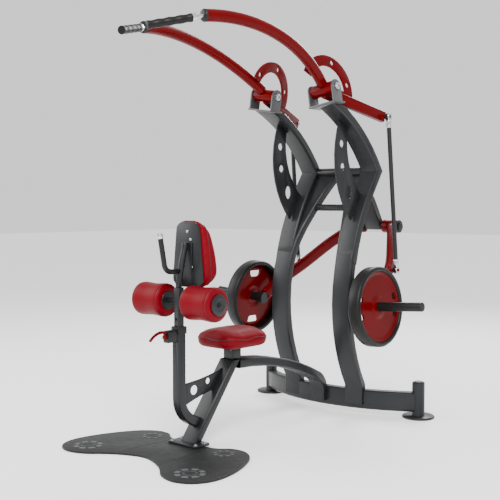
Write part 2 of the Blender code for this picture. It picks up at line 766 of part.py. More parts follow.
def build_side_frames():
    """Main legs, uprights, knee gussets, and the two tubes that join the legs."""
    outer = box_section(TUBE_W, TUBE_D, CORNER)
    inner = box_section(TUBE_W - 2 * WALL, TUBE_D - 2 * WALL, CORNER - WALL / 2)
    base_cut = room("base", base_path(), BASE_TOP - BASE_BOTTOM, BASE_D, CORNER, Z_AXIS)
    cross_cut = guide(rod("cut_cross", (-SIDE_X, KNEE_Y, KNEE_Z), (SIDE_X, KNEE_Y, KNEE_Z),
                          CROSS_R + GAP, 18))
    reach = SIDE_X - TUBE_W / 2 - GAP
    tube_between("upper_cross_tube", reach, KNEE_Y, KNEE_Z, CROSS_R)
    brace_y, brace_x = leg_at(BRACE_Z)
    brace = tube_between("lower_cross_tube", brace_x, brace_y, BRACE_Z, BRACE_R)
    for label, side in SIDES:
        leg = sweep("main_leg_" + label, leg_path(side), outer, "frame", X_AXIS, inner)
        boolean(leg, base_cut)
        boolean(leg, cross_cut)
        leg_cut = room("leg_" + label, leg_path(side), TUBE_W, TUBE_D, CORNER)
        boolean(brace, leg_cut)
        build_upright(label, side, leg_cut, outer, inner)
    return base_cut, cross_cut


def build_upright(label, side, leg_cut, outer, inner):
    """One upright, cut level with the underside of its arm bracket, and the gusset in its knee."""
    upright = sweep("upper_upright_" + label, upright_path(side), outer, "frame", X_AXIS, inner)
    boolean(upright, leg_cut)
    span = TUBE_W
    above = rectangle(-span, -BRACKET_DROP - GAP, span, 3 * span)
    boolean(upright, guide(plate("cut_head_" + label, above, 3 * span, rolled_place(side), "frame")))
    gusset = knee_gusset(label, side)
    boolean(gusset, room("upright_" + label, upright_path(side), TUBE_W, TUBE_D, CORNER))
    boolean(gusset, leg_cut)


def leg_at(height):
    """The y of a leg's middle line and its distance from x = 0 at a given height."""
    path = leg_path(1)
    for (x0, y0, z0), (x1, y1, z1) in zip(path, path[1:]):
        if z0 <= height <= z1:
            share = (height - z0) / (z1 - z0)
            return y0 + (y1 - y0) * share, x0 + (x1 - x0) * share
    raise ValueError("the height is outside the leg")


def tube_between(name, reach, y, z, radius):
    """A round tube across the machine, open at both ends."""
    bore = radius - WALL
    profile = [(-reach, radius), (reach, radius), (reach, bore), (-reach, bore)]
    return turned(name, profile, (0, y, z), X_AXIS, "frame", 18, bored=True)


def knee_gusset(label, side):
    """The curved strip that closes the knee, with its three holes."""
    front = through_three(GUSSET_TOP, GUSSET_FRONT, GUSSET_FOOT, 9)
    rear = through_three(GUSSET_FOOT_REAR, GUSSET_REAR, GUSSET_TOP_REAR, 7)
    holes = [circle(centre, GUSSET_HOLE_R) for centre in GUSSET_HOLES]
    slot = [(y + GUSSET_SLOT[0], z * GUSSET_SLOT_STRETCH + GUSSET_SLOT[1])
            for y, z in round_section(GUSSET_SLOT_R, 14)]
    return plate("knee_gusset_" + label, front + rear, GUSSET_T, yz_plane(side * SIDE_X), "frame",
                 (*holes, slot))


# ================================================================ arm brackets and arms
def build_brackets():
    """Fork brackets on the uprights, and the bolts that the arms turn on."""
    half = CLEVIS / 2
    for label, side in SIDES:
        low = -BRACKET_DROP + EAR_T / 2
        ear = [(EAR_W / 2, low)] + arc((0, 0), EAR_W / 2, 0, math.pi, 10) + [(-EAR_W / 2, low)]
        hole = circle((0, 0), PIN_R + GAP, 16)
        base = rectangle(-EAR_W / 2 - WELD, -BRACKET_DROP, BRACKET_REAR, -BRACKET_DROP + EAR_T)
        width = CLEVIS + 2 * (EAR_T + WELD)
        fork = plate("arm_bracket_" + label, base, width, rolled_place(side), "frame")
        for tag, sign in (("out", 1), ("in", -1)):
            place = rolled_place(side, sign * (half + EAR_T / 2))
            cheek = plate(f"add_ear_{label}_{tag}", ear, EAR_T, place, "frame", (hole,))
            boolean(fork, guide(cheek), "UNION")
        end = half + EAR_T + GAP
        head = end + PIN_HEAD_T
        profile = [(-head, PIN_HEAD_R), (-end, PIN_HEAD_R), (-end, PIN_R), (end, PIN_R),
                   (end, PIN_HEAD_R), (head, PIN_HEAD_R)]
        turned("arm_pivot_pin_" + label, profile, hub_point(side), hinge_axis(side), "frame", 16)


def build_arms():
    """Pull arms: hub, tube, crescent plate, tail, and the handle on its spindle."""
    for label, side in SIDES:
        hub = hub_point(side)
        axis = hinge_axis(side)
        half = CLEVIS / 2 - SLIDE
        bore = PIN_R + RUN
        profile = [(-half, HUB_R), (half, HUB_R), (half, bore), (-half, bore)]
        turned("arm_hub_" + label, profile, hub, axis, "red", 20, bored=True, origin=hub)
        hub_cut = guide(rod("cut_hub_" + label, hub - axis * half, hub + axis * half, HUB_R + GAP, 20))
        tube = round_section(ARM_R, 14)
        bore_section = round_section(ARM_R - ARM_WALL, 14)
        arm = sweep("pull_arm_" + label, arm_path(side), tube, "red", X_AXIS, bore_section, hub)
        boolean(arm, hub_cut)
        behind = rectangle(0, -HUB_R * 2, HUB_R * 3, HUB_R * 3)
        boolean(arm, guide(plate("cut_behind_" + label, behind, CLEVIS, rolled_place(side), "red")))
        arm_cut = guide(sweep("cut_arm_" + label, arm_path(side), round_section(ARM_R + GAP, 14), "red"))
        tail_section = box_section(TAIL_W, TAIL_D, FINE_CORNER)
        tail = sweep("arm_tail_" + label, tail_path(side), tail_section, "red", X_AXIS, None, hub)
        boolean(tail, hub_cut)
        boolean(tail, arm_cut)
        tail_cut = room("tail_" + label, tail_path(side), TAIL_W, TAIL_D, 0)
        crescent = crescent_plate(label, side, hub)
        for cutter in (hub_cut, arm_cut, tail_cut):
            boolean(crescent, cutter)
        build_handle(label, side, hub)


def crescent_plate(label, side, hub):
    """The holed, C-shaped plate that stands over the hinge."""
    centre = (CRESCENT_Y, CRESCENT_Z)
    inner = CRESCENT_R - CRESCENT_BAND
    outline = arc(centre, CRESCENT_R, math.radians(CRESCENT_TIP), math.radians(CRESCENT_OUTER_END), 16)
    outline += CRESCENT_FOOT
    outline += arc(centre, inner, math.radians(CRESCENT_INNER_END), math.radians(CRESCENT_TIP), 12)
    middle = CRESCENT_R - CRESCENT_BAND / 2
    holes = []
    for angle in CRESCENT_HOLES:
        turn = math.radians(angle)
        holes.append(circle((CRESCENT_Y + middle * math.cos(turn), CRESCENT_Z + middle * math.sin(turn)),
                            CRESCENT_HOLE_R))
    place = rolled_place(side, 0.0, CRESCENT_YAW)
    return plate("crescent_plate_" + label, outline, CRESCENT_T, place, "red", holes, hub)


def build_handle(label, side, hub):
    """Cap and spindle with its collar at the arm's end, and the grip that turns on it."""
    path = arm_path(side)
    arm_end = Vector(path[-1])
    ahead = (arm_end - Vector(path[-2])).normalized()
    tip = Vector((side * GRIP_TIP[0], GRIP_TIP[1], GRIP_TIP[2]))
    run = (tip - arm_end).normalized()
    length = (tip - arm_end).length
    neck = length - GRIP_L - COLLAR_L
    thin = SPINDLE_R - SPINDLE_STEP
    cap = [(GAP, ARM_R), (ARM_CAP_T, ARM_R), (ARM_CAP_T + SPINDLE_STEP, ARM_R - RIM)]
    spindle = turned("grip_spindle_" + label, cap, arm_end, ahead, "frame", 18, origin=hub)
    profile = [(ARM_CAP_T / 2, SPINDLE_R), (neck, SPINDLE_R), (neck, COLLAR_R),
               (neck + COLLAR_L - SLIDE, COLLAR_R), (neck + COLLAR_L - SLIDE, thin),
               (length - GRIP_FLOOR - SPINDLE_STEP, thin)]
    boolean(spindle, guide(turned("add_spindle_" + label, profile, arm_end, run, "chrome", 14)), "UNION")
    bore = thin + RUN
    start = neck + COLLAR_L
    soft = GRIP_EDGE
    floor = length - GRIP_FLOOR
    grip = [(start, GRIP_R - soft / 2), (start + soft, GRIP_R), (length - soft, GRIP_R),
            (length, GRIP_R - soft), (length, GRIP_VENT_R), (floor, GRIP_VENT_R), (floor, bore),
            (start, bore)]
    turned("hand_grip_" + label, grip, arm_end, run, "black", 16, bored=True, origin=arm_end)


# ================================================================ weight levers
def build_levers():
    """Lever shaft and its bracket, and per side the hub, lever, horn, plate and link rod."""
    reach = LEVER_HUB_IN - SLIDE
    outer = LEVER_HUB_IN + LEVER_HUB_L + SLIDE
    head = outer + SHAFT_CAP_T
    profile = [(-head, SHAFT_CAP_R), (-outer, SHAFT_CAP_R), (-outer, SHAFT_R), (-reach, SHAFT_R),
               (-reach, SHAFT_BODY_R), (reach, SHAFT_BODY_R), (reach, SHAFT_R), (outer, SHAFT_R),
               (outer, SHAFT_CAP_R), (head, SHAFT_CAP_R)]
    centre = Vector((0, SHAFT_Y, SHAFT_Z))
    turned("lever_shaft", profile, centre, X_AXIS, "frame", 20)
    for label, side in SIDES:
        hub_x = side * LEVER_HUB_IN
        bore = SHAFT_R + RUN
        hub_profile = [(0, LEVER_HUB_R), (LEVER_HUB_L, LEVER_HUB_R), (LEVER_HUB_L, bore), (0, bore)]
        start = Vector((hub_x, SHAFT_Y, SHAFT_Z))
        out = X_AXIS * side
        turned("lever_hub_" + label, hub_profile, start, out, "red", 20, bored=True, origin=centre)
        hub_cut = guide(rod("cut_lever_hub_" + label, start, start + out * LEVER_HUB_L,
                            LEVER_HUB_R + GAP, 20))
        section = box_section(LEVER_W, LEVER_D, LEVER_CORNER)
        lever = sweep("weight_lever_" + label, lever_path(side), section, "red", X_AXIS, None, centre)
        boolean(lever, hub_cut)
        build_horn(label, side, lever, centre)
        build_link_rod(label, side, lever)


def build_horn(label, side, lever, centre):
    """The horn that carries the plates, with its sleeve on the lever, and one weight plate."""
    out = Vector((side * math.cos(HORN_TILT), 0, math.sin(HORN_TILT)))
    seat = Vector((side * PLATE_X, PLATE_Y, PLATE_Z))
    start = seat - out * (GAP + SLEEVE_L)
    length = HORN_END_X - PLATE_X + GAP + SLEEVE_L
    profile = [(0, SLEEVE_R), (SLEEVE_L, SLEEVE_R), (SLEEVE_L, HORN_R), (length - HORN_EDGE, HORN_R),
               (length, HORN_R - HORN_EDGE)]
    turned("plate_horn_" + label, profile, start, out, "black", 20, origin=centre)
    boolean(lever, guide(rod("cut_horn_" + label, start - out * SLEEVE_RUN, start + out * SLEEVE_L,
                             SLEEVE_R + GAP, 20)))
    bore = HORN_R + RUN
    rim = PLATE_RIM
    disc = [(0, PLATE_R - rim), (rim / 2, PLATE_R), (PLATE_T - rim / 2, PLATE_R),
            (PLATE_T, PLATE_R - rim), (PLATE_T, bore), (0, bore)]
    turned("weight_plate_" + label, disc, seat, out, "rubber", 32, bored=True, origin=centre)


def build_link_rod(label, side, lever):
    """Link rod with an eye at each end, and the stud on the lever that its lower eye turns on."""
    low = Vector((side * LOWER_EYE[0], LOWER_EYE[1], LOWER_EYE[2]))
    high = Vector((side * (TAIL_END[0] + UPPER_EYE_OUT), TAIL_END[1], TAIL_END[2]))
    run = (high - low).normalized()
    out = X_AXIS * side
    start = low + run * (EYE_R - EYE_OVERLAP)
    end = high - run * (EYE_R - EYE_OVERLAP)
    length = (end - start).length
    bar = turned("link_rod_" + label, [(0, ROD_R), (length, ROD_R)], start, run, "frame", 12, origin=low)
    bore = STUD_R + EYE_PLAY
    half = EYE_T / 2
    eye = [(-half, EYE_R), (half, EYE_R), (half, bore), (-half, bore)]
    lower = guide(turned("add_lower_eye_" + label, eye, low, out, "chrome", 16, bored=True))
    boolean(bar, lower, "UNION")
    ball = [(-half, EYE_R), (half, EYE_R)]
    upper = guide(turned("add_upper_eye_" + label, ball, high, out, "chrome", 16))
    boolean(bar, upper, "UNION")
    root = low - out * (half + STUD_L + LEVER_W / 2)
    tip = low + out * (half + STUD_PROUD)
    boolean(lever, guide(rod("add_stud_" + label, root, tip, STUD_R, 12)), "UNION")


def build_rear_bracket(cross_cut):
    """The tube that carries the lever shaft behind the upper cross tube."""
    start = Vector((0, KNEE_Y, KNEE_Z))
    middle = Vector((0, 0.5 * (KNEE_Y + SHAFT_Y) + BRACKET_ARCH,
                     0.5 * (KNEE_Z + SHAFT_Z) + BRACKET_ARCH))
    end = Vector((0, SHAFT_Y, SHAFT_Z))
    path = curve_through([start, middle, end], 4)
    outer = box_section(TUBE_W, TUBE_D, CORNER)
    inner = box_section(TUBE_W - 2 * WALL, TUBE_D - 2 * WALL, CORNER - WALL / 2)
    bracket = sweep("rear_bracket", path, outer, "frame", X_AXIS, inner)
    boolean(bracket, cross_cut)
    reach = (LEVER_HUB_IN, SHAFT_Y, SHAFT_Z)
    boolean(bracket, guide(rod("cut_shaft", (-reach[0], *reach[1:]), reach, SHAFT_BODY_R + GAP, 20)))
    for label, side in SIDES:
        boolean(bracket, room("leg_rear_" + label, leg_path(side), TUBE_W, TUBE_D, CORNER))


# ================================================================ front leg, beam, seat, deck
def build_front(base_cut):
    """Deck, front leg with its flange, seat beam, seat post, seat plate and cushion."""
    deck = smooth_loop(DECK_OUTLINE + [(-x, y) for x, y in reversed(DECK_OUTLINE) if x > 0], 4)
    plate("foot_platform", deck, DECK_T, xy_plane(DECK_T / 2), "deck")
    flange_z = DECK_T + GAP
    flange = rounded(rectangle(-FLANGE_W / 2, FRONT_FOOT_Y - FLANGE_L / 2, FLANGE_W / 2,
                               FRONT_FOOT_Y + FLANGE_L / 2), FLANGE_ROUND)
    plate("leg_flange", flange, FLANGE_T, xy_plane(flange_z + FLANGE_T / 2), "frame")
    outer = box_section(FRONT_W, FRONT_D, CORNER)
    inner = box_section(FRONT_W - 2 * WALL, FRONT_D - 2 * WALL, CORNER - WALL / 2)
    leg = sweep("front_leg", front_leg_path(), outer, "frame", X_AXIS, inner)
    below = rectangle(-0.3, -0.3, 0.3, 0.3)
    floor_top = flange_z + FLANGE_T + GAP
    sole = plate("cut_sole", below, 0.2, Matrix.Translation((0, FRONT_FOOT_Y, floor_top - 0.1)), "frame")
    boolean(leg, guide(sole))
    crown_z = BEAM_Z + BEAM_D / 2 + 0.1
    boolean(leg, guide(plate("cut_crown", below, 0.2, Matrix.Translation((0, BEAM_Y, crown_z)), "frame")))
    leg_cut = room("front_leg", front_leg_path(), FRONT_W, FRONT_D, CORNER)
    beam_outer = box_section(BEAM_W, BEAM_D, CORNER)
    beam_inner = box_section(BEAM_W - 2 * WALL, BEAM_D - 2 * WALL, CORNER - WALL / 2)
    beam = sweep("seat_beam", beam_path(), beam_outer, "frame", X_AXIS, beam_inner)
    boolean(beam, leg_cut)
    boolean(beam, base_cut)
    post_foot = BEAM_Z + BEAM_D / 2 + GAP
    post = sweep("seat_post", [(0, SEAT_Y, post_foot), (0, SEAT_Y, SEAT_BOTTOM - GAP)],
                 box_section(SEAT_POST_W, SEAT_POST_D, SEAT_POST_CORNER), "frame", X_AXIS,
                 box_section(SEAT_POST_W - 2 * WALL, SEAT_POST_D - 2 * WALL, SEAT_POST_BORE_CORNER))
    inset = SEAT_INSET
    base = rounded(rectangle(-SEAT_W / 2 + inset, SEAT_Y - SEAT_L / 2 + inset, SEAT_W / 2 - inset,
                             SEAT_Y + SEAT_L / 2 - inset), SEAT_PLATE_ROUND)
    plate("seat_plate", base, SEAT_PLATE_T, xy_plane(SEAT_BOTTOM + SEAT_PLATE_T / 2), "frame")
    outline = rounded(rectangle(-SEAT_W / 2, -SEAT_L / 2, SEAT_W / 2, SEAT_L / 2), SEAT_CORNER, 5)
    foot_z = SEAT_BOTTOM + SEAT_PLATE_T + GAP
    place = Matrix.Translation((0, SEAT_Y, foot_z))
    full = SEAT_T + SEAT_DOME
    cushion("seat_cushion", outline, SEAT_STEPS, lambda x, y: full, place)
    return leg_cut


def cushion(name, outline, steps, height, place):
    """A soft pad: the outline shrunk and raised in steps, each a share of the local height."""
    count = len(outline)
    points = []
    for shrink, rise in steps:
        for x, y in outline:
            points.append(place @ Vector((x * shrink, y * shrink, rise * height(x, y))))
    faces = [tuple(range(count)), tuple((len(steps) - 1) * count + j for j in range(count))]
    for i in range(len(steps) - 1):
        for j in range(count):
            k = (j + 1) % count
            faces.append((i * count + j, i * count + k, (i + 1) * count + k, (i + 1) * count + j))
    return make_object(name, points, faces, "cushion")


# ================================================================ thigh and chest unit
def build_fixed_post(leg_cut):
    """The fixed outer post, its gusset, and the pin that locks the sliding post."""
    outer = box_section(OUTER, OUTER, OUTER_CORNER)
    inner = box_section(OUTER - 2 * OUTER_WALL, OUTER - 2 * OUTER_WALL, OUTER_CORNER - OUTER_WALL / 2)
    post = sweep("thigh_post", thigh_post_path(), outer, "frame", X_AXIS, inner)
    boolean(post, leg_cut)
    face = POST_Y - OUTER / 2
    hole = guide(rod("cut_pin_hole", (0, face - SLEEVE_RUN, PIN_Z), (0, face + 2 * OUTER_WALL, PIN_Z),
                     PIN_SHANK_R + RUN, 12))
    boolean(post, hole)
    lean = 1 / math.tan(FRONT_SLOPE)
    top = (FRONT_FOOT_Y + GUSSET_HIGH * lean, GUSSET_HIGH)
    low = (FRONT_FOOT_Y + GUSSET_LOW * lean, GUSSET_LOW)
    upper_edge = through_three((POST_Y, GUSSET_POST_TOP), GUSSET_UPPER_MID, top, 5)
    lower_edge = through_three(low, GUSSET_LOWER_MID, (POST_Y, GUSSET_POST_LOW), 5)
    holes = (circle(GUSSET_BIG_HOLE, GUSSET_BIG_HOLE_R, 14),
             circle(GUSSET_SMALL_HOLE, GUSSET_SMALL_HOLE_R, 12))
    gusset = plate("post_gusset", upper_edge + lower_edge, POST_GUSSET_T, yz_plane(0), "frame", holes)
    boolean(gusset, leg_cut)
    boolean(gusset, room("thigh_post", thigh_post_path(), OUTER, OUTER, OUTER_CORNER))
    block = rounded(rectangle(-HOUSING_W / 2, PIN_Z - HOUSING_H / 2, HOUSING_W / 2,
                              PIN_Z + HOUSING_H / 2), SMALL_ROUND)
    block_y = face - GAP - HOUSING_L / 2
    plate("pin_housing", block, HOUSING_L, xz_plane(block_y), "frame",
          (circle((0, PIN_Z), PIN_SHANK_R + RUN, 12),))
    tip = Vector((0, face + OUTER_WALL - PIN_SHORT, PIN_Z))
    run = HOUSING_L + OUTER_WALL + SLIDE
    button = LEVER_R + PIN_BUTTON
    profile = [(0, PIN_SHANK_R), (run, PIN_SHANK_R), (run, button), (run + PIN_BUTTON_L, button)]
    plunger = turned("pin_plunger", profile, tip, -Y_AXIS, "red", 14, origin=tip)
    route = [(0, tip.y - run - PULL_REACH * share, PIN_Z + rise) for share, rise in PULL_SHAPE]
    handle = guide(sweep("add_pull_lever", curve_through(route, 2), round_section(LEVER_R, 10), "red"))
    boolean(plunger, handle, "UNION")


def build_thigh_unit():
    """Sliding post, roller axle and rollers, pad arm, pad plate, chest pad and support handle."""
    outer = box_section(INNER, INNER, INNER_CORNER)
    inner = box_section(INNER - 2 * INNER_WALL, INNER - 2 * INNER_WALL, INNER_BORE_CORNER)
    foot = (0, POST_Y, INNER_BOTTOM)
    post = sweep("sliding_post", [foot, (0, POST_Y, INNER_TOP)], outer, "frame", X_AXIS, inner, foot)
    face = POST_Y - INNER / 2
    for i in range(HOLES):
        z = PIN_Z + (2 - i) * HOLE_PITCH
        boolean(post, guide(rod(f"cut_hole_{i}", (0, face - INNER_WALL, z), (0, face + 2 * INNER_WALL, z),
                                HOLE_R, 10)))
    span = ROLLER_IN + ROLLER_L + CAP_T + AXLE_PROUD
    axle_line = ((-span, POST_Y, ROLLER_Z), (span, POST_Y, ROLLER_Z))
    boolean(post, guide(rod("cut_axle", *axle_line, AXLE_R + GAP, 16)))
    turned("roller_axle", [(0, AXLE_R), (2 * span, AXLE_R)], axle_line[0], X_AXIS, "frame", 16)
    bore = AXLE_R + RUN
    soft = FOAM_EDGE
    foam = [(0, ROLLER_R - soft), (soft * 0.3, ROLLER_R - soft * 0.3), (soft, ROLLER_R),
            (ROLLER_L * 0.25, (ROLLER_R + ROLLER_WAIST) / 2), (ROLLER_L * 0.5, ROLLER_WAIST),
            (ROLLER_L * 0.75, (ROLLER_R + ROLLER_WAIST) / 2), (ROLLER_L - soft, ROLLER_R),
            (ROLLER_L - soft * 0.3, ROLLER_R - soft * 0.3), (ROLLER_L, ROLLER_R - soft),
            (ROLLER_L, bore), (0, bore)]
    cap = [(0, CAP_R), (CAP_T * 0.6, CAP_R), (CAP_T, CAP_R - CAP_EDGE), (CAP_T, bore), (0, bore)]
    for label, side in SIDES:
        near = Vector((side * ROLLER_IN, POST_Y, ROLLER_Z))
        turned("thigh_roller_" + label, foam, near, X_AXIS * side, "cushion", 24, bored=True, origin=near)
        end = near + X_AXIS * side * (ROLLER_L + GAP)
        turned("roller_cap_" + label, cap, end, X_AXIS * side, "black", 20, bored=True, origin=near)
    build_chest_pad()


def belly(t):
    """Share of the pad's full thickness at a height t from -1 (low) to 1 (top)."""
    slack = (t - PAD_BELLY) / (1 - PAD_BELLY * math.copysign(1, t - PAD_BELLY))
    return 1 - PAD_THINNING * slack * slack


def build_chest_pad():
    """Arm from the sliding post, pad plate, pad and the upright support handle."""
    lane = PAD_Y - PAD_ARM_R - 2 * GAP
    route = [(0, POST_Y, INNER_TOP + PAD_ARM_RISE), (0, 0.5 * (POST_Y + lane), PAD_ARM_KNEE_Z),
             (0, lane - PAD_ARM_LEAN, PAD_ARM_TOP_Z - PAD_ARM_RISE), (0, lane, PAD_ARM_TOP_Z)]
    path = [(0, POST_Y, INNER_TOP + GAP)] + curve_through(route, 3)
    sweep("pad_arm", path, round_section(PAD_ARM_R, 12), "frame")
    arm_cut = guide(sweep("cut_pad_arm", path, round_section(PAD_ARM_R + GAP, 12), "frame"))
    corners = [(-PAD_W_LOW / 2, PAD_LOW_Z), (PAD_W_LOW / 2, PAD_LOW_Z), (PAD_W_TOP / 2, PAD_TOP_Z),
               (-PAD_W_TOP / 2, PAD_TOP_Z)]
    low_x = PAD_W_LOW / 2 - PAD_EDGE
    top_x = PAD_W_TOP / 2 - PAD_EDGE
    low_z = PAD_LOW_Z + PAD_EDGE
    top_z = PAD_TOP_Z - PAD_EDGE
    inner = [(-low_x, low_z), (low_x, low_z), (top_x, top_z), (-top_x, top_z)]
    plate("pad_plate", rounded(inner, PAD_CORNER - PAD_EDGE), PAD_PLATE_T,
          xz_plane(PAD_Y + PAD_PLATE_T / 2), "frame")
    middle = 0.5 * (PAD_LOW_Z + PAD_TOP_Z)
    reach = 0.5 * (PAD_TOP_Z - PAD_LOW_Z)
    outline = [(x, z - middle) for x, z in rounded(corners, PAD_CORNER, 4)]
    back = PAD_Y + PAD_PLATE_T + GAP
    place = Matrix(((1, 0, 0, 0), (0, 0, 1, back), (0, 1, 0, middle), (0, 0, 0, 1)))
    cushion("chest_pad", outline, PAD_STEPS, lambda x, z: PAD_T * belly(z / reach), place)
    start_y = POST_Y + (lane - POST_Y) * HANDLE_ROOT
    front = POST_Y - HANDLE_REACH
    bend = (front + HANDLE_BEND, HANDLE_Z + HANDLE_BEND)
    turn = arc(bend, HANDLE_BEND, -math.pi / 2, -math.pi, 5)
    path = [(0, start_y, HANDLE_Z)] + [(0, y, z) for y, z in turn]
    path.append((0, front - HANDLE_LEAN, HANDLE_TOP_Z))
    handle = sweep("support_handle", path, round_section(HANDLE_R, 14), "black")
    boolean(handle, arm_cut)


def centre_on_footprint():
    """Move everything along Y so that the machine's footprint is centred on the origin."""
    front = min(y for _, y in DECK_OUTLINE)
    rear = SHAFT_Y + LEVER_HUB_R
    for obj in bpy.data.objects:
        obj.location.y -= (front + rear) / 2


def main():
    """Build the machine."""
    clear_scene()
    build_base()
    base_cut, cross_cut = build_side_frames()
    build_brackets()
    build_arms()
    build_levers()
    build_rear_bracket(cross_cut)
    leg_cut = build_front(base_cut)
    build_fixed_post(leg_cut)
    build_thigh_unit()
    centre_on_footprint()


main()
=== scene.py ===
"""Looks of the plate-loaded lat pulldown machine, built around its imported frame.

The welded frame, the two pull arms, the weight levers, the seat and the thigh unit are rebuilt as
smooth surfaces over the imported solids.  Metres, +Z up, -Y the way the seated user faces.
"""

from __future__ import annotations

import json
import logging
import math
from dataclasses import dataclass, field
from enum import Enum
from typing import Callable, Sequence

import bmesh
import bpy
import numpy as np
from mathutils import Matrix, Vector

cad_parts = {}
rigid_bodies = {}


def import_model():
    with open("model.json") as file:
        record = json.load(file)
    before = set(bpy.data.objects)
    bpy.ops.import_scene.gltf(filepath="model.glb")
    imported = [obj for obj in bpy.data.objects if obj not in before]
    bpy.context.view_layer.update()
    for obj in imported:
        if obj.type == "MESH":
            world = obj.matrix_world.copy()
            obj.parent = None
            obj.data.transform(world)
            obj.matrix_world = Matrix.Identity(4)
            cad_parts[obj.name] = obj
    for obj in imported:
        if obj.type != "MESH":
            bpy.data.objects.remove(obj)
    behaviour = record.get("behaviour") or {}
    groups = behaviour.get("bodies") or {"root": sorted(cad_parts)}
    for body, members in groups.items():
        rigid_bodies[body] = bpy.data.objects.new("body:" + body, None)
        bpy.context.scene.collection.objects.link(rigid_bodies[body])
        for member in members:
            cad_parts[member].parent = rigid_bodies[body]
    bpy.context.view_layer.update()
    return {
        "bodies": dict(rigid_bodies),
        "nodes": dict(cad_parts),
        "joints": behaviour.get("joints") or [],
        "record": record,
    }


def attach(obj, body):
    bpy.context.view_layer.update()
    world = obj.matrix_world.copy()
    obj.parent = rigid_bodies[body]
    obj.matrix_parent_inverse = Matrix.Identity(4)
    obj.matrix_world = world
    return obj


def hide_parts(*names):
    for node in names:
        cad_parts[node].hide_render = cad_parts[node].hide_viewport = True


LOG = logging.getLogger("lat_pulldown")
SIDES = (("right", 1.0), ("left", -1.0))
X_AXIS = np.array((1.0, 0.0, 0.0))
Y_AXIS = np.array((0.0, 1.0, 0.0))
Z_AXIS = np.array((0.0, 0.0, 1.0))
MM = 0.001
SHIFT_Y = 0.3405  # from the machine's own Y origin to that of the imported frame
Array = np.ndarray
Place = tuple[float, float, float]
Shape = tuple[Array, list]


# ---- numbers and curves
def unit(vectors: Array) -> Array:
    """Vectors scaled to length one."""
    return vectors / np.linalg.norm(vectors, axis=-1, keepdims=True)


def points(*rows: Sequence[float]) -> Array:
    """Rows of numbers as one float array."""
    return np.array(rows, float)


def point(x: float, y: float, z: float) -> Array:
    """One place in space."""
    return np.array((x, y, z), float)


def arc(centre: Sequence[float], radius: float, start: float, end: float, count: int) -> Array:
    """Points of a circular arc in a plane.

    Formula: centre + radius * (cos a, sin a), with a running evenly from start to end.

    Args:
        centre: Middle of the circle.
        radius: Radius in metres.
        start: First angle in radians.
        end: Last angle in radians.
        count: How many points.

    Returns:
        An array of (count, 2) coordinates.
    """
    angle = np.linspace(start, end, count)
    return np.stack((centre[0] + radius * np.cos(angle), centre[1] + radius * np.sin(angle)), 1)


def mirrored(path: Array, side: float) -> Array:
    """A right-hand path, or its mirror image for the left."""
    return path * np.array((side, 1.0, 1.0))


def through(start: Array, middle: Array, end: Array, count: int) -> Array:
    """The circular arc in space through three points.

    Formula: the circle's centre from the two chords, then centre + spoke * cos a + side * sin a.

    Args:
        start: First point.
        middle: A point on the way.
        end: Last point.
        count: How many points.

    Returns:
        An array of (count, 3) coordinates.
    """
    ahead, bulge = end - start, middle - start
    normal = np.cross(bulge, ahead)
    centre = start + (np.cross(normal, bulge) * (ahead @ ahead)
                      + np.cross(ahead, normal) * (bulge @ bulge)) / (2 * normal @ normal)
    spoke, far = start - centre, end - centre
    radius = np.linalg.norm(spoke)
    turn = math.acos(float(spoke @ far) / radius ** 2)
    side = unit(np.cross(normal, spoke)) * radius
    angle = np.linspace(0, turn, count)[:, None]
    return centre + spoke * np.cos(angle) + side * np.sin(angle)


def rounded_box(width: float, depth: float, radius: float, steps: int = 5) -> Array:
    """Outline of a rectangle with round corners.

    Args:
        width: Size across.
        depth: Size through.
        radius: Radius of its corners.
        steps: Runs on each corner.

    Returns:
        (across, through) pairs.
    """
    a, b = width / 2 - radius, depth / 2 - radius
    corners = [arc((x, y), radius, math.radians(q), math.radians(q + 90), steps + 1)
               for (x, y), q in (((a, b), 0), ((-a, b), 90), ((-a, -b), 180), ((a, -b), 270))]
    return np.concatenate(corners)


def ring(radius: float, sides: int = 40) -> Array:
    """Outline of a circle."""
    return arc((0, 0), radius, 0, 2 * math.pi, sides + 1)[:-1]


def softened(corners: Array, radius: float, steps: int = 6) -> Array:
    """A closed outline whose corners are rounded by quadratic curves.

    Args:
        corners: Corners of the outline, (n, 2).
        radius: How far before and after a corner its curve runs.
        steps: Points on each curve.

    Returns:
        The rounded outline's points.
    """
    before = unit(np.roll(corners, 1, 0) - corners) * radius
    after = unit(np.roll(corners, -1, 0) - corners) * radius
    t = np.linspace(0, 1, steps)[None, :, None]
    start, end, middle = (corners + before)[:, None], (corners + after)[:, None], corners[:, None]
    return ((1 - t) ** 2 * start + 2 * t * (1 - t) * middle + t ** 2 * end).reshape(-1, 2)


# ---- surfaces
def quads(rows: int, columns: int, wrap_rows: bool = False, wrap_columns: bool = True) -> list:
    """Faces of a grid of points whose columns, and if asked its rows, close on themselves."""
    i = np.arange(rows if wrap_rows else rows - 1)[:, None]
    j = np.arange(columns if wrap_columns else columns - 1)[None, :]
    n, k = (i + 1) % rows, (j + 1) % columns
    cells = (i * columns + j, i * columns + k, n * columns + k, n * columns + j)
    return np.stack(cells, -1).reshape(-1, 4).tolist()


def capped(grid: Array) -> Shape:
    """A grid of rings as points and faces, its first and last rings closed by flat faces."""
    rows, columns = grid.shape[:2]
    faces = quads(rows, columns)
    faces.append(list(range(columns))[::-1])
    faces.append(list(range((rows - 1) * columns, rows * columns)))
    return grid.reshape(-1, 3), faces


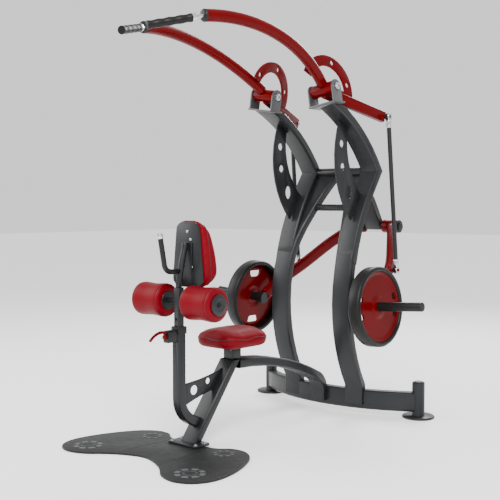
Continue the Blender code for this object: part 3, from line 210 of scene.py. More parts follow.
def swept(path: Array, section: Array) -> Shape:
    """A bar along a path, mitred at each of its points.

    Formula: the section stands square to each run; every point then slides along its run on to the
    plane that halves the bend.

    Args:
        path: Middle line, (n, 3).
        section: Outline as (across, through) pairs, its first axis as near to X as the path allows.

    Returns:
        Points and faces of the closed bar.
    """
    runs = unit(np.diff(path, axis=0))
    arriving = np.concatenate((runs[:1], runs))
    leaving = np.concatenate((runs, runs[-1:]))
    u = unit(X_AXIS - arriving * (arriving @ X_AXIS)[:, None])
    v = np.cross(arriving, u)
    offset = u[:, None] * section[None, :, :1] + v[:, None] * section[None, :, 1:]
    halving = unit(arriving + leaving)[:, None]
    slide = (offset * halving).sum(-1) / (arriving[:, None] * halving).sum(-1)
    grid = path[:, None] + offset - arriving[:, None] * slide[..., None]
    return capped(grid)


def lathed(profile: Array, foot: Array, axis: Array, sides: int = 48,
           bored: bool = False) -> Shape:
    """A turned surface.

    Formula: foot + axis * along + radius * (cos a * e1 + sin a * e2).

    Args:
        profile: (along, radius) pairs; a closed loop when bored.
        foot: Where along is zero.
        axis: Direction of the turning axis.
        sides: Points round the axis.
        bored: Whether the profile closes on itself.

    Returns:
        Points and faces.
    """
    axis = unit(np.asarray(axis, float))
    helper = X_AXIS if abs(axis[0]) < 0.8 else Z_AXIS
    e1 = unit(np.cross(axis, helper))
    e2 = np.cross(axis, e1)
    turn = np.linspace(0, 2 * math.pi, sides, endpoint=False)
    spokes = np.cos(turn)[:, None] * e1 + np.sin(turn)[:, None] * e2
    grid = foot + axis * profile[:, None, :1] + spokes[None] * profile[:, None, 1:]
    if not bored:
        return capped(grid)
    return grid.reshape(-1, 3), quads(len(profile), sides, wrap_rows=True)


def extruded(outline: Array, thickness: float, place: Array) -> Shape:
    """A flat plate.

    Args:
        outline: Its outline in the first two axes of `place`.
        thickness: Thickness along the third axis, half of it each way.
        place: Where it stands, as a 4 by 4 matrix.

    Returns:
        Points and faces.
    """
    lifts = (-thickness / 2, thickness / 2)
    local = np.stack([np.column_stack((outline, np.full(len(outline), z))) for z in lifts])
    grid = local @ place[:3, :3].T + place[:3, 3]
    return capped(grid)


def frame_matrix(first: Array, second: Array, third: Array,
                 origin: Array) -> Array:
    """A 4 by 4 matrix from three axes and an origin."""
    matrix = np.eye(4)
    matrix[:3, 0], matrix[:3, 1], matrix[:3, 2], matrix[:3, 3] = first, second, third, origin
    return matrix


def level(z: float) -> Array:
    """Place of a level plate: its outline is (x, y)."""
    return frame_matrix(X_AXIS, Y_AXIS, Z_AXIS, Z_AXIS * z)


# ---- finishes
def linear(code: str) -> tuple[float, float, float, float]:
    """An sRGB hex colour as linear RGBA."""
    parts = np.array([int(code[i:i + 2], 16) for i in (1, 3, 5)]) / 255
    values = np.where(parts <= 0.04045, parts / 12.92, ((parts + 0.055) / 1.055) ** 2.4)
    return (*(float(v) for v in values), 1.0)


def add(tree: bpy.types.NodeTree, kind: str, values: dict | None = None,
        **settings: object) -> bpy.types.Node:
    """Add a node with its settings; a value that is a socket is linked, any other is set.

    Args:
        tree: Node tree.
        kind: Node type name.
        values: Input name or index to value or output socket.
        settings: Properties of the node itself.

    Returns:
        The node.
    """
    item = tree.nodes.new(kind)
    for name, value in settings.items():
        setattr(item, name, value)
    for name, value in (values or {}).items():
        if isinstance(value, bpy.types.NodeSocket):
            tree.links.new(value, item.inputs[name])
        else:
            item.inputs[name].default_value = value
    return item


class Grain(Enum):
    """How a surface is broken up."""

    PEEL = "orange peel of a sprayed coat"
    PEBBLE = "pebble grain of leatherette"
    CAST = "sandy moulded rubber"
    TURNED = "fine turning marks"
    TREAD = "coarse anti-slip speckle"


@dataclass(frozen=True)
class Finish:
    """One finish of the machine.

    Sizes are in millimetres: `grain_mm` is the spacing of the relief and `relief_mm` its height.
    """

    name: str
    slot: str
    light: str
    dark: str
    roughness: float
    grain: Grain
    grain_mm: float
    relief_mm: float
    metallic: float = 0.0
    coat: float = 0.0
    ior: float = 1.5
    specular: float = 0.5

    def relief(self, tree: bpy.types.NodeTree, place: bpy.types.NodeSocket) -> bpy.types.NodeSocket:
        """Height pattern of the finish.

        Args:
            tree: Node tree of the material.
            place: Object coordinates.

        Returns:
            A socket with heights from 0 to 1.
        """
        scale = 1.0 / (self.grain_mm * MM)
        if self.grain is Grain.PEBBLE:
            cells = add(tree, "ShaderNodeTexVoronoi", {"Vector": place, "Scale": scale, "Randomness": 0.9},
                        feature="SMOOTH_F1")
            return cells.outputs["Distance"]
        detail = {Grain.PEEL: 1.0, Grain.CAST: 4.0, Grain.TURNED: 2.0, Grain.TREAD: 3.0}[self.grain]
        noise = add(tree, "ShaderNodeTexNoise", {"Vector": place, "Scale": scale, "Detail": detail})
        return noise.outputs["Fac"]

    def material(self) -> bpy.types.Material:
        """The finish as a material: two close colours in soft patches, a broken gloss and fine relief."""
        found = bpy.data.materials.get(self.name)
        if found:
            return found
        made = bpy.data.materials.new(self.name)
        made.use_nodes = True
        tree = made.node_tree
        shader = tree.nodes["Principled BSDF"]
        place = add(tree, "ShaderNodeTexCoord").outputs["Object"]
        patches = add(tree, "ShaderNodeTexNoise", {"Vector": place, "Scale": 9.0, "Detail": 3.0})
        blend = add(tree, "ShaderNodeMix", {0: patches.outputs["Fac"], 6: linear(self.dark),
                                            7: linear(self.light)}, data_type="RGBA")
        tree.links.new(blend.outputs[2], shader.inputs["Base Color"])
        smudge = add(tree, "ShaderNodeTexNoise", {"Vector": place, "Scale": 31.0, "Detail": 4.0})
        gloss = add(tree, "ShaderNodeMapRange", {"Value": smudge.outputs["Fac"],
                                                 "To Min": self.roughness * 0.82,
                                                 "To Max": self.roughness * 1.18})
        tree.links.new(gloss.outputs["Result"], shader.inputs["Roughness"])
        bump = add(tree, "ShaderNodeBump", {"Height": self.relief(tree, place), "Strength": 0.6,
                                            "Distance": self.relief_mm * MM})
        tree.links.new(bump.outputs["Normal"], shader.inputs["Normal"])
        for name, value in (("Metallic", self.metallic), ("IOR", self.ior), ("Coat Weight", self.coat),
                            ("Coat Roughness", 0.06), ("Specular IOR Level", self.specular)):
            shader.inputs[name].default_value = value
        return made


# Sprayed and baked polyester powder: satin, with a shallow orange peel.
POWDER = Finish("anthracite_powder_coat", "frame_paint", "#1f2022", "#17181a", 0.34, Grain.PEEL, 1.6, 0.04,
                specular=0.3)
POWDER_LIGHT = Finish("grey_powder_coat", "frame_paint", "#47484a", "#3d3e40", 0.34, Grain.PEEL, 1.6, 0.05)
# Two-layer gloss enamel: deep red under a clear coat.
ENAMEL = Finish("red_gloss_enamel", "red_paint", "#5e0004", "#530003", 0.30, Grain.PEEL, 2.2, 0.03,
                coat=0.10, specular=0.05)
# Vinyl leatherette over foam: pebble grain at 1.6 mm, a little coarse so that it shows.
VINYL = Finish("crimson_leatherette", "upholstery", "#6e0010", "#61000d", 0.44, Grain.PEBBLE, 1.6, 0.08,
               specular=0.09)
# Welt of the same leatherette, made darker: painted shade of the crease along the seam.
WELT_PAINTED_SHADE = Finish("leatherette_seam_painted_shade", "upholstery", "#3a0006", "#300005", 0.5, Grain.PEBBLE, 1.6, 0.08)
# Moulded rubber: dull and sandy.
RUBBER = Finish("black_moulded_rubber", "plate_rubber", "#0e0e0e", "#090909", 0.42, Grain.CAST, 1.2, 0.06,
                specular=0.25)
# Injection-moulded nylon.
PLASTIC = Finish("black_moulded_nylon", "black_plastic", "#121313", "#0d0e0e", 0.42, Grain.CAST, 0.9, 0.05,
                 specular=0.3)
# Bright chromium plate over turned steel.
CHROME = Finish("bright_chrome", "frame_paint", "#dcdddf", "#c6c7c9", 0.14, Grain.TURNED, 0.8, 0.01,
                metallic=1.0)
# Zinc-plated fasteners.
ZINC = Finish("zinc_plate", "frame_paint", "#c2c3c4", "#a5a6a8", 0.30, Grain.TURNED, 1.0, 0.02,
              metallic=1.0)
# Structure powder coat of the deck: a coarse anti-slip speckle.
DECK = Finish("deck_structure_coat", "deck_coat", "#18191a", "#121314", 0.55, Grain.TREAD, 2.0, 0.22,
              specular=0.3)
DECK_PAD = Finish("deck_grip_inlay", "deck_coat", "#4a4c4d", "#404243", 0.60, Grain.TREAD, 2.0, 0.20)


# ---- pieces
def linked(name: str, data: bpy.types.ID) -> bpy.types.Object:
    """A new object of the scene that shows the data."""
    obj = bpy.data.objects.new(name, data)
    bpy.context.scene.collection.objects.link(obj)
    return obj


def modify(obj: bpy.types.Object, kind: str, **settings: object) -> bpy.types.Modifier:
    """Add a modifier of a kind to an object, with its settings."""
    made = obj.modifiers.new(kind.lower(), kind)
    for name, value in settings.items():
        setattr(made, name, value)
    return made


def round_edges(obj: bpy.types.Object, width: float, degrees: float) -> None:
    """Bevel the object's edges that are sharper than some degrees."""
    modify(obj, "BEVEL", width=width, segments=2, limit_method="ANGLE", angle_limit=math.radians(degrees))


def vertices(obj: bpy.types.Object) -> Array:
    """The object's points as an (n, 3) array."""
    found = np.empty(len(obj.data.vertices) * 3, np.float32)
    obj.data.vertices.foreach_get("co", found)
    return found.reshape(-1, 3).astype(float)


def set_vertices(obj: bpy.types.Object, values: Array) -> None:
    """Write an (n, 3) array into the object's points."""
    obj.data.vertices.foreach_set("co", values.astype(np.float32).ravel())
    obj.data.update()


@dataclass
class Workshop:
    """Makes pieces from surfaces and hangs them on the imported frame."""

    shift: float = SHIFT_Y
    bevel_angle: float = 40.0
    made: int = 0
    replaced: set[str] = field(default_factory=set)

    def mesh(self, name: str, shapes: Sequence[Shape]) -> bpy.types.Object:
        """One object from several shapes, moved on to the frame's own Y origin.

        Args:
            name: Name of the object.
            shapes: Its surfaces.

        Returns:
            The object, its faces turned outwards.
        """
        all_points: list[Array] = []
        faces: list = []
        start = 0
        for verts, cells in shapes:
            all_points.append(verts)
            faces += [[start + i for i in cell] for cell in cells]
            start += len(verts)
        stacked = np.concatenate(all_points) + Y_AXIS * self.shift
        data = bpy.data.meshes.new(name)
        data.from_pydata(stacked.tolist(), [], faces)
        data.update()
        obj = linked(name, data)
        self.outwards(obj)
        return obj

    @staticmethod
    def outwards(obj: bpy.types.Object) -> None:
        """Turn every face of the object outwards."""
        work = bmesh.new()
        work.from_mesh(obj.data)
        bmesh.ops.recalc_face_normals(work, faces=work.faces)
        work.to_mesh(obj.data)
        work.free()

    def add(self, name: str, shapes: Sequence[Shape], finish: Finish, body: str,
            nodes: Sequence[str] = (), bevel: float = 0.0, holes: Sequence[Shape] = (),
            angle: float = 32.0) -> bpy.types.Object:
        """Make a piece, dress it, and let it ride on a body.

        Args:
            name: Name of the piece.
            shapes: Its closed surfaces.
            finish: Its finish.
            body: Body of the frame that it rides on.
            nodes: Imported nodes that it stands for.
            bevel: Width of the small rounding on its sharp edges, in metres.
            holes: Closed surfaces that are cut out of it.
            angle: Edges sharper than this, in degrees, stay sharp.

        Returns:
            The finished object.
        """
        obj = self.mesh(name, shapes)
        if bevel:
            round_edges(obj, bevel, self.bevel_angle)
        if holes:
            cutter = self.mesh(name + "_cutter", holes)
            modify(obj, "BOOLEAN", operation="DIFFERENCE", solver="EXACT", object=cutter)
            self.apply(obj)
            bpy.data.objects.remove(cutter, do_unlink=True)
        elif bevel:
            self.apply(obj)
        return self.finish(obj, finish, body, nodes, angle)

    @staticmethod
    def apply(obj: bpy.types.Object) -> None:
        """Keep the result of the object's modifiers as its mesh."""
        bpy.context.view_layer.update()
        graph = bpy.context.evaluated_depsgraph_get()
        result = bpy.data.meshes.new_from_object(obj.evaluated_get(graph))
        obj.modifiers.clear()
        obj.data = result

    def finish(self, obj: bpy.types.Object, finish: Finish, body: str, nodes: Sequence[str] = (),
               angle: float = 32.0) -> bpy.types.Object:
        """Shade, dress and mount an object that is already in place.

        Args:
            obj: The object.
            finish: Its finish.
            body: Body of the frame that it rides on.
            nodes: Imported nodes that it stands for.
            angle: Edges sharper than this, in degrees, stay sharp.

        Returns:
            The same object.
        """
        obj.data.shade_smooth()
        obj.data.set_sharp_from_angle(angle=math.radians(angle))
        obj.data.materials.clear()
        obj.data.materials.append(finish.material())
        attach(obj, body)
        if nodes:
            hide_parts(*nodes)
            self.replaced.update(nodes)
        self.made += 1
        LOG.info("%s rides on %s", obj.name, body)
        return obj


def bolt(centre: Array, axis: Array, radius: float = 0.009, height: float = 0.006) -> list[Shape]:
    """A washer, a six-sided head and the screw's end.

    Args:
        centre: Middle of the washer's foot.
        axis: Way that the head points.
        radius: Radius over the head's corners.
        height: Height of the head.

    Returns:
        Its three turned shapes.
    """
    axis = unit(np.asarray(axis, float))
    washer = points((0, radius * 1.45), (0.0012, radius * 1.5), (0.0018, radius * 1.45))
    head = points((0.0015, radius), (0.0015 + height * 0.8, radius), (0.0015 + height, radius * 0.82))
    stem = points((0.0015 + height, radius * 0.45), (0.0035 + height, radius * 0.45),
                  (0.0042 + height, radius * 0.32))
    return [lathed(profile, centre, axis, sides) for profile, sides in ((washer, 28), (head, 6), (stem, 20))]


def socket_screw(centre: Array, axis: Array, radius: float) -> list[Shape]:
    """A button-head screw: a low dome with a ring-shaped rim round its socket."""
    profile = points((0, 1), (0.25, 1), (0.5, 0.78), (0.6, 0.5), (0.6, 0.38), (0.25, 0.34)) * radius
    return [lathed(profile, centre, axis, 32)]


@dataclass
class Refiner:
    """Makes smooth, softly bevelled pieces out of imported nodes."""

    frame: dict
    shop: Workshop
    weld_distance: float = 0.00002
    flat_angle: float = 0.6
    bevel_angle: float = 38.0
    pressure: float = 4.0
    stiffness: float = 25.0
    frames: int = 20
    settling: int = 24

    def body_of(self, node: str) -> str:
        """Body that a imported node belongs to."""
        groups = self.frame["record"]["behaviour"]["bodies"]
        return next(body for body, members in groups.items() if node in members)

    def cleaned(self, node: str, name: str) -> bpy.types.Object:
        """A copy of a node's mesh, merged, with its flat faces joined again."""
        data = self.frame["nodes"][node].data.copy()
        work = bmesh.new()
        work.from_mesh(data)
        bmesh.ops.remove_doubles(work, verts=work.verts, dist=self.weld_distance)
        bmesh.ops.dissolve_limit(work, angle_limit=math.radians(self.flat_angle), verts=work.verts,
                                 edges=work.edges)
        bmesh.ops.recalc_face_normals(work, faces=work.faces)
        work.to_mesh(data)
        work.free()
        for layer in list(data.attributes):
            if layer.name == "custom_normal":
                data.attributes.remove(layer)
        return linked(name, data)

    def refine(self, node: str, finish: Finish, bevel: float = 0.0015,
               angle: float = 34.0) -> bpy.types.Object:
        """Put a refined copy in a node's place.

        Args:
            node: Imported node.
            finish: Its finish.
            bevel: Width of the rounding on its sharp edges, in metres.
            angle: Edges sharper than this, in degrees, stay sharp.

        Returns:
            The refined piece.
        """
        obj = self.cleaned(node, node + "_surface")
        round_edges(obj, bevel, self.bevel_angle)
        self.shop.apply(obj)
        return self.shop.finish(obj, finish, self.body_of(node), (node,), angle)

    def cushion(self, node: str, finish: Finish, voxel: float, limit: float,
                keep: Callable[[Array], Array],
                swell: Callable[[Array], Array]) -> bpy.types.Object:
        """Inflate a node's shape into an upholstered pad.

        The shape is remeshed, blown up as cloth with the points chosen by `keep` held still, its
        movement is capped, and it is subdivided once.

        Args:
            node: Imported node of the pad.
            finish: Leatherette of the pad.
            voxel: Grid of the remesh, in metres.
            limit: Longest way that a point may move, in metres.
            keep: Takes points (n, 3) and returns how firmly each is held, 0 to 1.
            swell: Takes points (n, 3) and returns them with the foam's fullness added.

        Returns:
            The pad.
        """
        obj = self.cleaned(node, node + "_cover")
        modify(obj, "REMESH", mode="VOXEL", voxel_size=voxel)
        self.shop.apply(obj)
        modify(obj, "SMOOTH", factor=0.5, iterations=4)
        self.shop.apply(obj)
        set_vertices(obj, swell(vertices(obj)))
        rest = vertices(obj)
        group = obj.vertex_groups.new(name="held")
        for i, weight in enumerate(keep(rest)):
            if weight > 0:
                group.add([i], float(weight), "REPLACE")
        cloth = modify(obj, "CLOTH")
        cloth.settings.use_pressure = True
        cloth.settings.uniform_pressure_force = self.pressure
        cloth.settings.effector_weights.gravity = 0.0
        cloth.settings.vertex_group_mass = group.name
        cloth.settings.tension_stiffness = self.stiffness
        cloth.settings.quality = 5
        cloth.point_cache.frame_start, cloth.point_cache.frame_end = 1, self.frames
        scene = bpy.context.scene
        for step in range(1, self.frames + 1):
            scene.frame_set(step)
        self.shop.apply(obj)
        scene.frame_set(1)
        moved = vertices(obj) - rest
        length = np.linalg.norm(moved, axis=1, keepdims=True)
        set_vertices(obj, rest + moved * np.minimum(1.0, limit / np.maximum(length, 1e-9)))
        modify(obj, "SMOOTH", factor=0.5, iterations=self.settling)
        self.shop.apply(obj)
        modify(obj, "SUBSURF", levels=1, render_levels=1)
        self.shop.apply(obj)
        self.shop.finish(obj, finish, self.body_of(node), (node,), 180.0)
        return obj


# ---- sub-assemblies
@dataclass
class Assembly:
    """A sub-assembly: what every one of them works with."""

    refiner: Refiner

    @property
    def shop(self) -> Workshop:
        """Workshop that makes its new pieces."""
        return self.refiner.shop


@dataclass
class FrameWeldment(Assembly):
    """Base, side frames, cross tubes, brackets, front leg, beam and fixed post."""

    hub: Place = (0.208, -0.114, 1.833)
    roll: float = math.radians(9.0)
    clevis: float = 0.150
    ear: float = 0.0100
    pin_head: float = 0.0084
    shaft_end: Place = (0.1873, 0.700, 1.073)
    flange_top: float = 0.0206
    seat_plate_foot: float = 0.4648

    def build(self) -> None:
        """Refine every welded node, then add caps, screws and bolts."""
        for node in ("base_crossmember", "leg_flange", "lower_cross_tube", "post_gusset",
                     "upper_cross_tube", "front_leg", "seat_beam", "seat_post", "seat_plate", "thigh_post",
                     "rear_bracket"):
            self.refiner.refine(node, POWDER)
        for side, _ in SIDES:
            for part in ("base_post_", "main_leg_", "upper_upright_", "knee_gusset_"):
                self.refiner.refine(part + side, POWDER)
            self.refiner.refine("arm_bracket_" + side, POWDER_LIGHT)
            self.refiner.refine("arm_pivot_pin_" + side, CHROME, 0.001)
        self.refiner.refine("lever_shaft", POWDER, 0.001)
        self.shaft_caps()
        self.hinge_screws()
        self.flange_bolts()

    def shaft_caps(self) -> None:
        """Moulded buttons over the ends of the lever shaft."""
        button = points((0, 0.0235), (0.003, 0.0235), (0.006, 0.020), (0.0072, 0.012), (0.0075, 0.002))
        for side, sign in SIDES:
            end = mirrored(np.array(self.shaft_end), sign)
            self.shop.add("shaft_cap_" + side, [lathed(button, end, X_AXIS * sign, 48)], PLASTIC, "frame")

    def hinge_screws(self) -> None:
        """Button-head screws in the heads of the arm hinge pins."""
        for side, sign in SIDES:
            axis = np.array((math.cos(self.roll), 0.0, sign * math.sin(self.roll)))
            middle = mirrored(np.array(self.hub), sign)
            shapes: list[Shape] = []
            for way in (-1.0, 1.0):
                end = middle + axis * way * (self.clevis / 2 + self.ear + self.pin_head)
                shapes += socket_screw(end, axis * way, 0.0125)
            self.shop.add("hinge_screws_" + side, shapes, ZINC, "frame")

    def flange_bolts(self) -> None:
        """Bolts through the front leg's flange into the deck, and those of the seat plate."""
        rows = (("flange_bolts", (-0.082, 0.082), (-0.985, -0.922), self.flange_top, Z_AXIS, (0.0075, 0.005)),
                ("seat_plate_bolts", (-0.055, 0.055), (-0.70, -0.56), self.seat_plate_foot, -Z_AXIS,
                 (0.006, 0.004)))
        for name, across, ahead, z, way, size in rows:
            shapes: list[Shape] = []
            for x in across:
                for y in ahead:
                    shapes += bolt(point(x, y, z), way, *size)
            self.shop.add(name, shapes, ZINC, "frame")


@dataclass
class PressArm(Assembly):
    """One pull arm with its hub, crescent plate, tail, chrome neck and grip."""

    side: str
    sign: float
    radius: float = 0.030
    start: Place = (0.208, -0.114, 1.841)
    middle: Place = (0.2625, -0.550, 2.055)
    end: Place = (0.212, -1.045, 2.089)
    tip: Place = (0.088, -1.297, 2.023)
    tail: Place = (0.318, 0.301, 1.708)
    grip_length: float = 0.222
    grip_radius: float = 0.0205
    collar_length: float = 0.022

    def path(self, count: int = 60) -> Array:
        """Middle line of the arm's tube."""
        line = through(np.array(self.start), np.array(self.middle), np.array(self.end), count)
        return mirrored(line, self.sign)

    def build(self) -> None:
        """Tube, hub and plate in red enamel; neck, cap and grip at the end."""
        body = "arm_" + self.side
        line = self.path()
        first = np.argmax(np.linalg.norm(line - line[0], axis=1) > self.radius)
        self.shop.add("pull_tube_" + self.side, [swept(line[first:], ring(self.radius))], ENAMEL, body,
                      ("pull_arm_" + self.side,), 0.0012)
        for part in ("arm_hub_", "crescent_plate_", "arm_tail_"):
            self.refiner.refine(part + self.side, ENAMEL, 0.0018)
        self.neck(body, line)
        self.grip("grip_" + self.side, line)
        self.rod_end_stud(body)

    def neck(self, body: str, line: Array) -> None:
        """Dark end cap of the tube, and the chrome spindle with its collar.

        Args:
            body: Body that they ride on.
            line: Middle line of the tube.
        """
        ahead = unit(line[-1] - line[-2])
        r = self.radius
        cap = points((0.0004, r * 1.02), (0.006, r * 1.02), (0.0095, r * 0.96), (0.0125, r * 0.80),
                     (0.014, r * 0.5), (0.0145, 0.004))
        self.shop.add("arm_cap_" + self.side, [lathed(cap, line[-1], ahead, 48)], PLASTIC, body)
        run, length = self.spindle_run(line)
        neck = length - self.grip_length - self.collar_length
        spindle = points((0.006, 0.011), (neck - 0.003, 0.011), (neck, 0.0125))
        edge = neck + self.collar_length
        collar = points((neck - 0.001, 0.0165), (neck + 0.001, 0.0195), (edge - 0.003, 0.0195),
                        (edge - 0.001, 0.0180))
        shapes = [lathed(profile, line[-1], run) for profile in (spindle, collar)]
        self.shop.add("grip_neck_" + self.side, shapes, CHROME, body, ("grip_spindle_" + self.side,))

    def spindle_run(self, line: Array) -> tuple[Array, float]:
        """Direction and length from the tube's end to the tip of the grip."""
        tip = mirrored(np.array(self.tip), self.sign)
        return unit(tip - line[-1]), float(np.linalg.norm(tip - line[-1]))

    def grip(self, body: str, line: Array) -> None:
        """Contoured rubber grip.

        Formula: radius = R * (0.95 + 0.05 * cos(2 pi 4 s)) between two flanges, with fine grooves across.

        Args:
            body: Body of the turning grip.
            line: Middle line of the arm's tube.
        """
        run, length = self.spindle_run(line)
        start = length - self.grip_length + 0.0008
        s = np.linspace(0, 1, 150)
        fingers = 0.95 + 0.05 * np.cos(2 * math.pi * 4 * s)
        grooves = 1.0 - 0.016 * (np.sin(2 * math.pi * 34 * s) > 0.2)
        flange = 0.06 * (np.exp(-(s / 0.035) ** 2) + np.exp(-((1 - s) / 0.035) ** 2))
        radius = self.grip_radius * np.minimum(fingers * grooves + flange, 1.0)
        body_rows = np.column_stack((start + s * (self.grip_length - 0.002), radius))
        end = start + self.grip_length - 0.002
        turn = np.linspace(0.2, 1.5, 5)
        crown = np.column_stack((end + 0.002 * np.sin(turn), radius[-1] * np.cos(turn)))
        low = points((start + 0.0002, self.grip_radius * 0.86))
        profile = np.concatenate((low, body_rows, crown))
        shape = lathed(profile, line[-1], run, 56)
        self.shop.add("grip_sleeve_" + self.side, [shape], RUBBER, body, ("hand_grip_" + self.side,))

    def rod_end_stud(self, body: str) -> None:
        """Chrome screw that holds the link rod's upper eye to the tail."""
        tail = mirrored(np.array(self.tail), self.sign)
        out = X_AXIS * self.sign
        shapes = bolt(tail - out * 0.0182, -out, 0.009, 0.006)
        self.shop.add("tail_screw_" + self.side, shapes, ZINC, body)


@dataclass
class WeightLever(Assembly):
    """One lever with its hub cap, horn, weight plate and link rod."""

    side: str
    sign: float
    plate_x: float = 0.406
    centre_y: float = 0.052
    centre_z: float = 0.645
    radius: float = 0.220
    thickness: float = 0.075
    tilt: float = math.radians(4.0)
    horn_radius: float = 0.025
    horn_end: float = 0.738
    wide_windows: bool = False
    hub_end: Place = (0.1765, 0.700, 1.073)
    rod_low: Place = (0.362, 0.385, 0.828)
    rod_high: Place = (0.354, 0.301, 1.708)
    tyre_wall: float = 0.027

    def out(self) -> Array:
        """Direction of the horn."""
        return np.array((self.sign * math.cos(self.tilt), 0.0, math.sin(self.tilt)))

    def seat(self) -> Array:
        """Point where the plate's inner face meets the horn's axis."""
        return np.array((self.sign * self.plate_x, self.centre_y, self.centre_z))

    def plate_place(self, along: float) -> Array:
        """Frame whose first two axes lie in the plate, with the third along the horn."""
        out = self.out()
        up = unit(Z_AXIS - out * (Z_AXIS @ out))
        return frame_matrix(np.cross(up, out), up, out, self.seat() + out * along)

    def slot(self, angle: float, mid_radius: float, wide: float, tall: float) -> Array:
        """Outline of one window: a band of the plate between two angles, with round corners.

        Args:
            angle: Middle of the window, in radians.
            mid_radius: Radius of the band's middle.
            wide: Width of the band.
            tall: Length of the window along the band.

        Returns:
            The outline's points.
        """
        half = wide / 2
        spread = tall / 2 / mid_radius
        inner = arc((0, 0), mid_radius - half, angle - spread, angle + spread, 2)
        outer = arc((0, 0), mid_radius + half, angle + spread, angle - spread, 2)
        return softened(np.concatenate((inner, outer)), min(wide, tall) * 0.35)

    def plate_slots(self) -> list[Shape]:
        """Cutters of the windows: two pairs of small ones, or a wide one above and one below."""
        place = self.plate_place(self.thickness / 2)
        if self.wide_windows:
            sizes = [(q, 0.146, 0.040, 0.086) for q in (90, 270)]
        else:
            sizes = [(q, 0.166, 0.034, 0.040) for q in (17, -17, 163, 197)]
        return [extruded(self.slot(math.radians(q), *rest), self.thickness * 1.5, place)
                for q, *rest in sizes]

    def build(self) -> None:
        """Refine the steel, then make the rubber plate and its coloured face."""
        body = "lever_" + self.side
        for part in ("lever_hub_", "weight_lever_"):
            self.refiner.refine(part + self.side, ENAMEL, 0.0018)
        self.refiner.refine("link_rod_" + self.side, POWDER, 0.0008)
        self.rod_ends()
        self.hub_cap(body)
        self.horn(body)
        self.plate(body)

    def rod_ends(self) -> None:
        """Chrome sleeves, jam nuts and side washers that turn the rod's ends into spherical rod ends."""
        low, high = (mirrored(np.array(eye), self.sign) for eye in (self.rod_low, self.rod_high))
        run = unit(high - low)
        shapes: list[Shape] = []
        for eye, way in ((low, run), (high, -run)):
            socket = points((0.018, 0.0134), (0.020, 0.0142), (0.050, 0.0142), (0.053, 0.0134))
            nut = points((0.053, 0.0150), (0.062, 0.0150), (0.063, 0.0140))
            shapes += [lathed(socket, eye, way, 40), lathed(nut, eye, way, 6)]
            ball = points((0.0102, 0.0095), (0.0102, 0.0215), (0.0118, 0.0205), (0.0118, 0.0095))
            shapes += [lathed(ball, eye, X_AXIS * side, 40, bored=True) for side in (1.0, -1.0)]
        self.shop.add("rod_ends_" + self.side, shapes, CHROME, "rod_" + self.side)

    def hub_cap(self, body: str) -> None:
        """Dark moulded cap on the outer end of the lever's hub."""
        centre = mirrored(np.array(self.hub_end), self.sign)
        profile = points((0, 0.0235), (0, 0.040), (0.006, 0.040), (0.0085, 0.037), (0.0085, 0.0235))
        shape = lathed(profile, centre, X_AXIS * self.sign, 48, bored=True)
        self.shop.add("lever_hub_cap_" + self.side, [shape], PLASTIC, body)

    def horn(self, body: str) -> None:
        """Horn tube in black, with its flange and domed end cap."""
        out, seat = self.out(), self.seat()
        length = self.horn_end - self.plate_x
        r = self.horn_radius
        tube = points((-0.046, 0.034), (-0.0015, 0.034), (-0.0004, 0.0325), (-0.0004, r),
                      (length - 0.016, r), (length - 0.016, r * 0.95), (length - 0.0145, r * 0.95),
                      (length - 0.0145, r), (length - 0.004, r), (length - 0.001, r * 0.92),
                      (length, r * 0.75), (length, 0.002))
        self.shop.add("horn_tube_" + self.side, [lathed(tube, seat, out, 56)], PLASTIC, body,
                      ("plate_horn_" + self.side,))

    def plate(self, body: str) -> None:
        """Rubber tyre round a dished, enamelled disc with windows."""
        out, seat = self.out(), self.seat()
        r, t = self.radius, self.thickness
        inner = r - self.tyre_wall
        tyre = points((0.010, inner), (0.002, inner + 0.004), (0, inner + 0.009), (0, r - 0.013),
                      (0.003, r - 0.004), (0.010, r), (t - 0.010, r), (t - 0.003, r - 0.004),
                      (t, r - 0.013), (t, inner + 0.009), (t - 0.002, inner + 0.004), (t - 0.010, inner))
        self.shop.add("plate_tyre_" + self.side, [lathed(tyre, seat, out, 112, bored=True)], RUBBER,
                      body, ("weight_plate_" + self.side,), angle=50)
        radii = np.linspace(self.horn_radius + 0.0012, inner + 0.002, 40)
        front = t - 0.012 - self.dish(radii)
        back = front[::-1] - 0.012
        profile = np.concatenate((np.column_stack((front, radii)), np.column_stack((back, radii[::-1]))))
        self.shop.add("plate_disc_" + self.side, [lathed(profile, seat, out, 112, bored=True)], ENAMEL,
                      body, holes=self.plate_slots(), angle=50)

    def dish(self, radii: Array) -> Array:
        """Depth of the disc's front below its rim.

        Formula: a smooth step down inside the rim, a flat ring, and a smooth step up to the hub.

        Args:
            radii: Distances from the plate's axis.

        Returns:
            The depth at each of them.
        """
        rim = 1 / (1 + np.exp((radii - (self.radius - 0.038)) / 0.003))
        hub = 1 / (1 + np.exp((radii - 0.056) / 0.004))
        return 0.010 * rim - 0.008 * hub


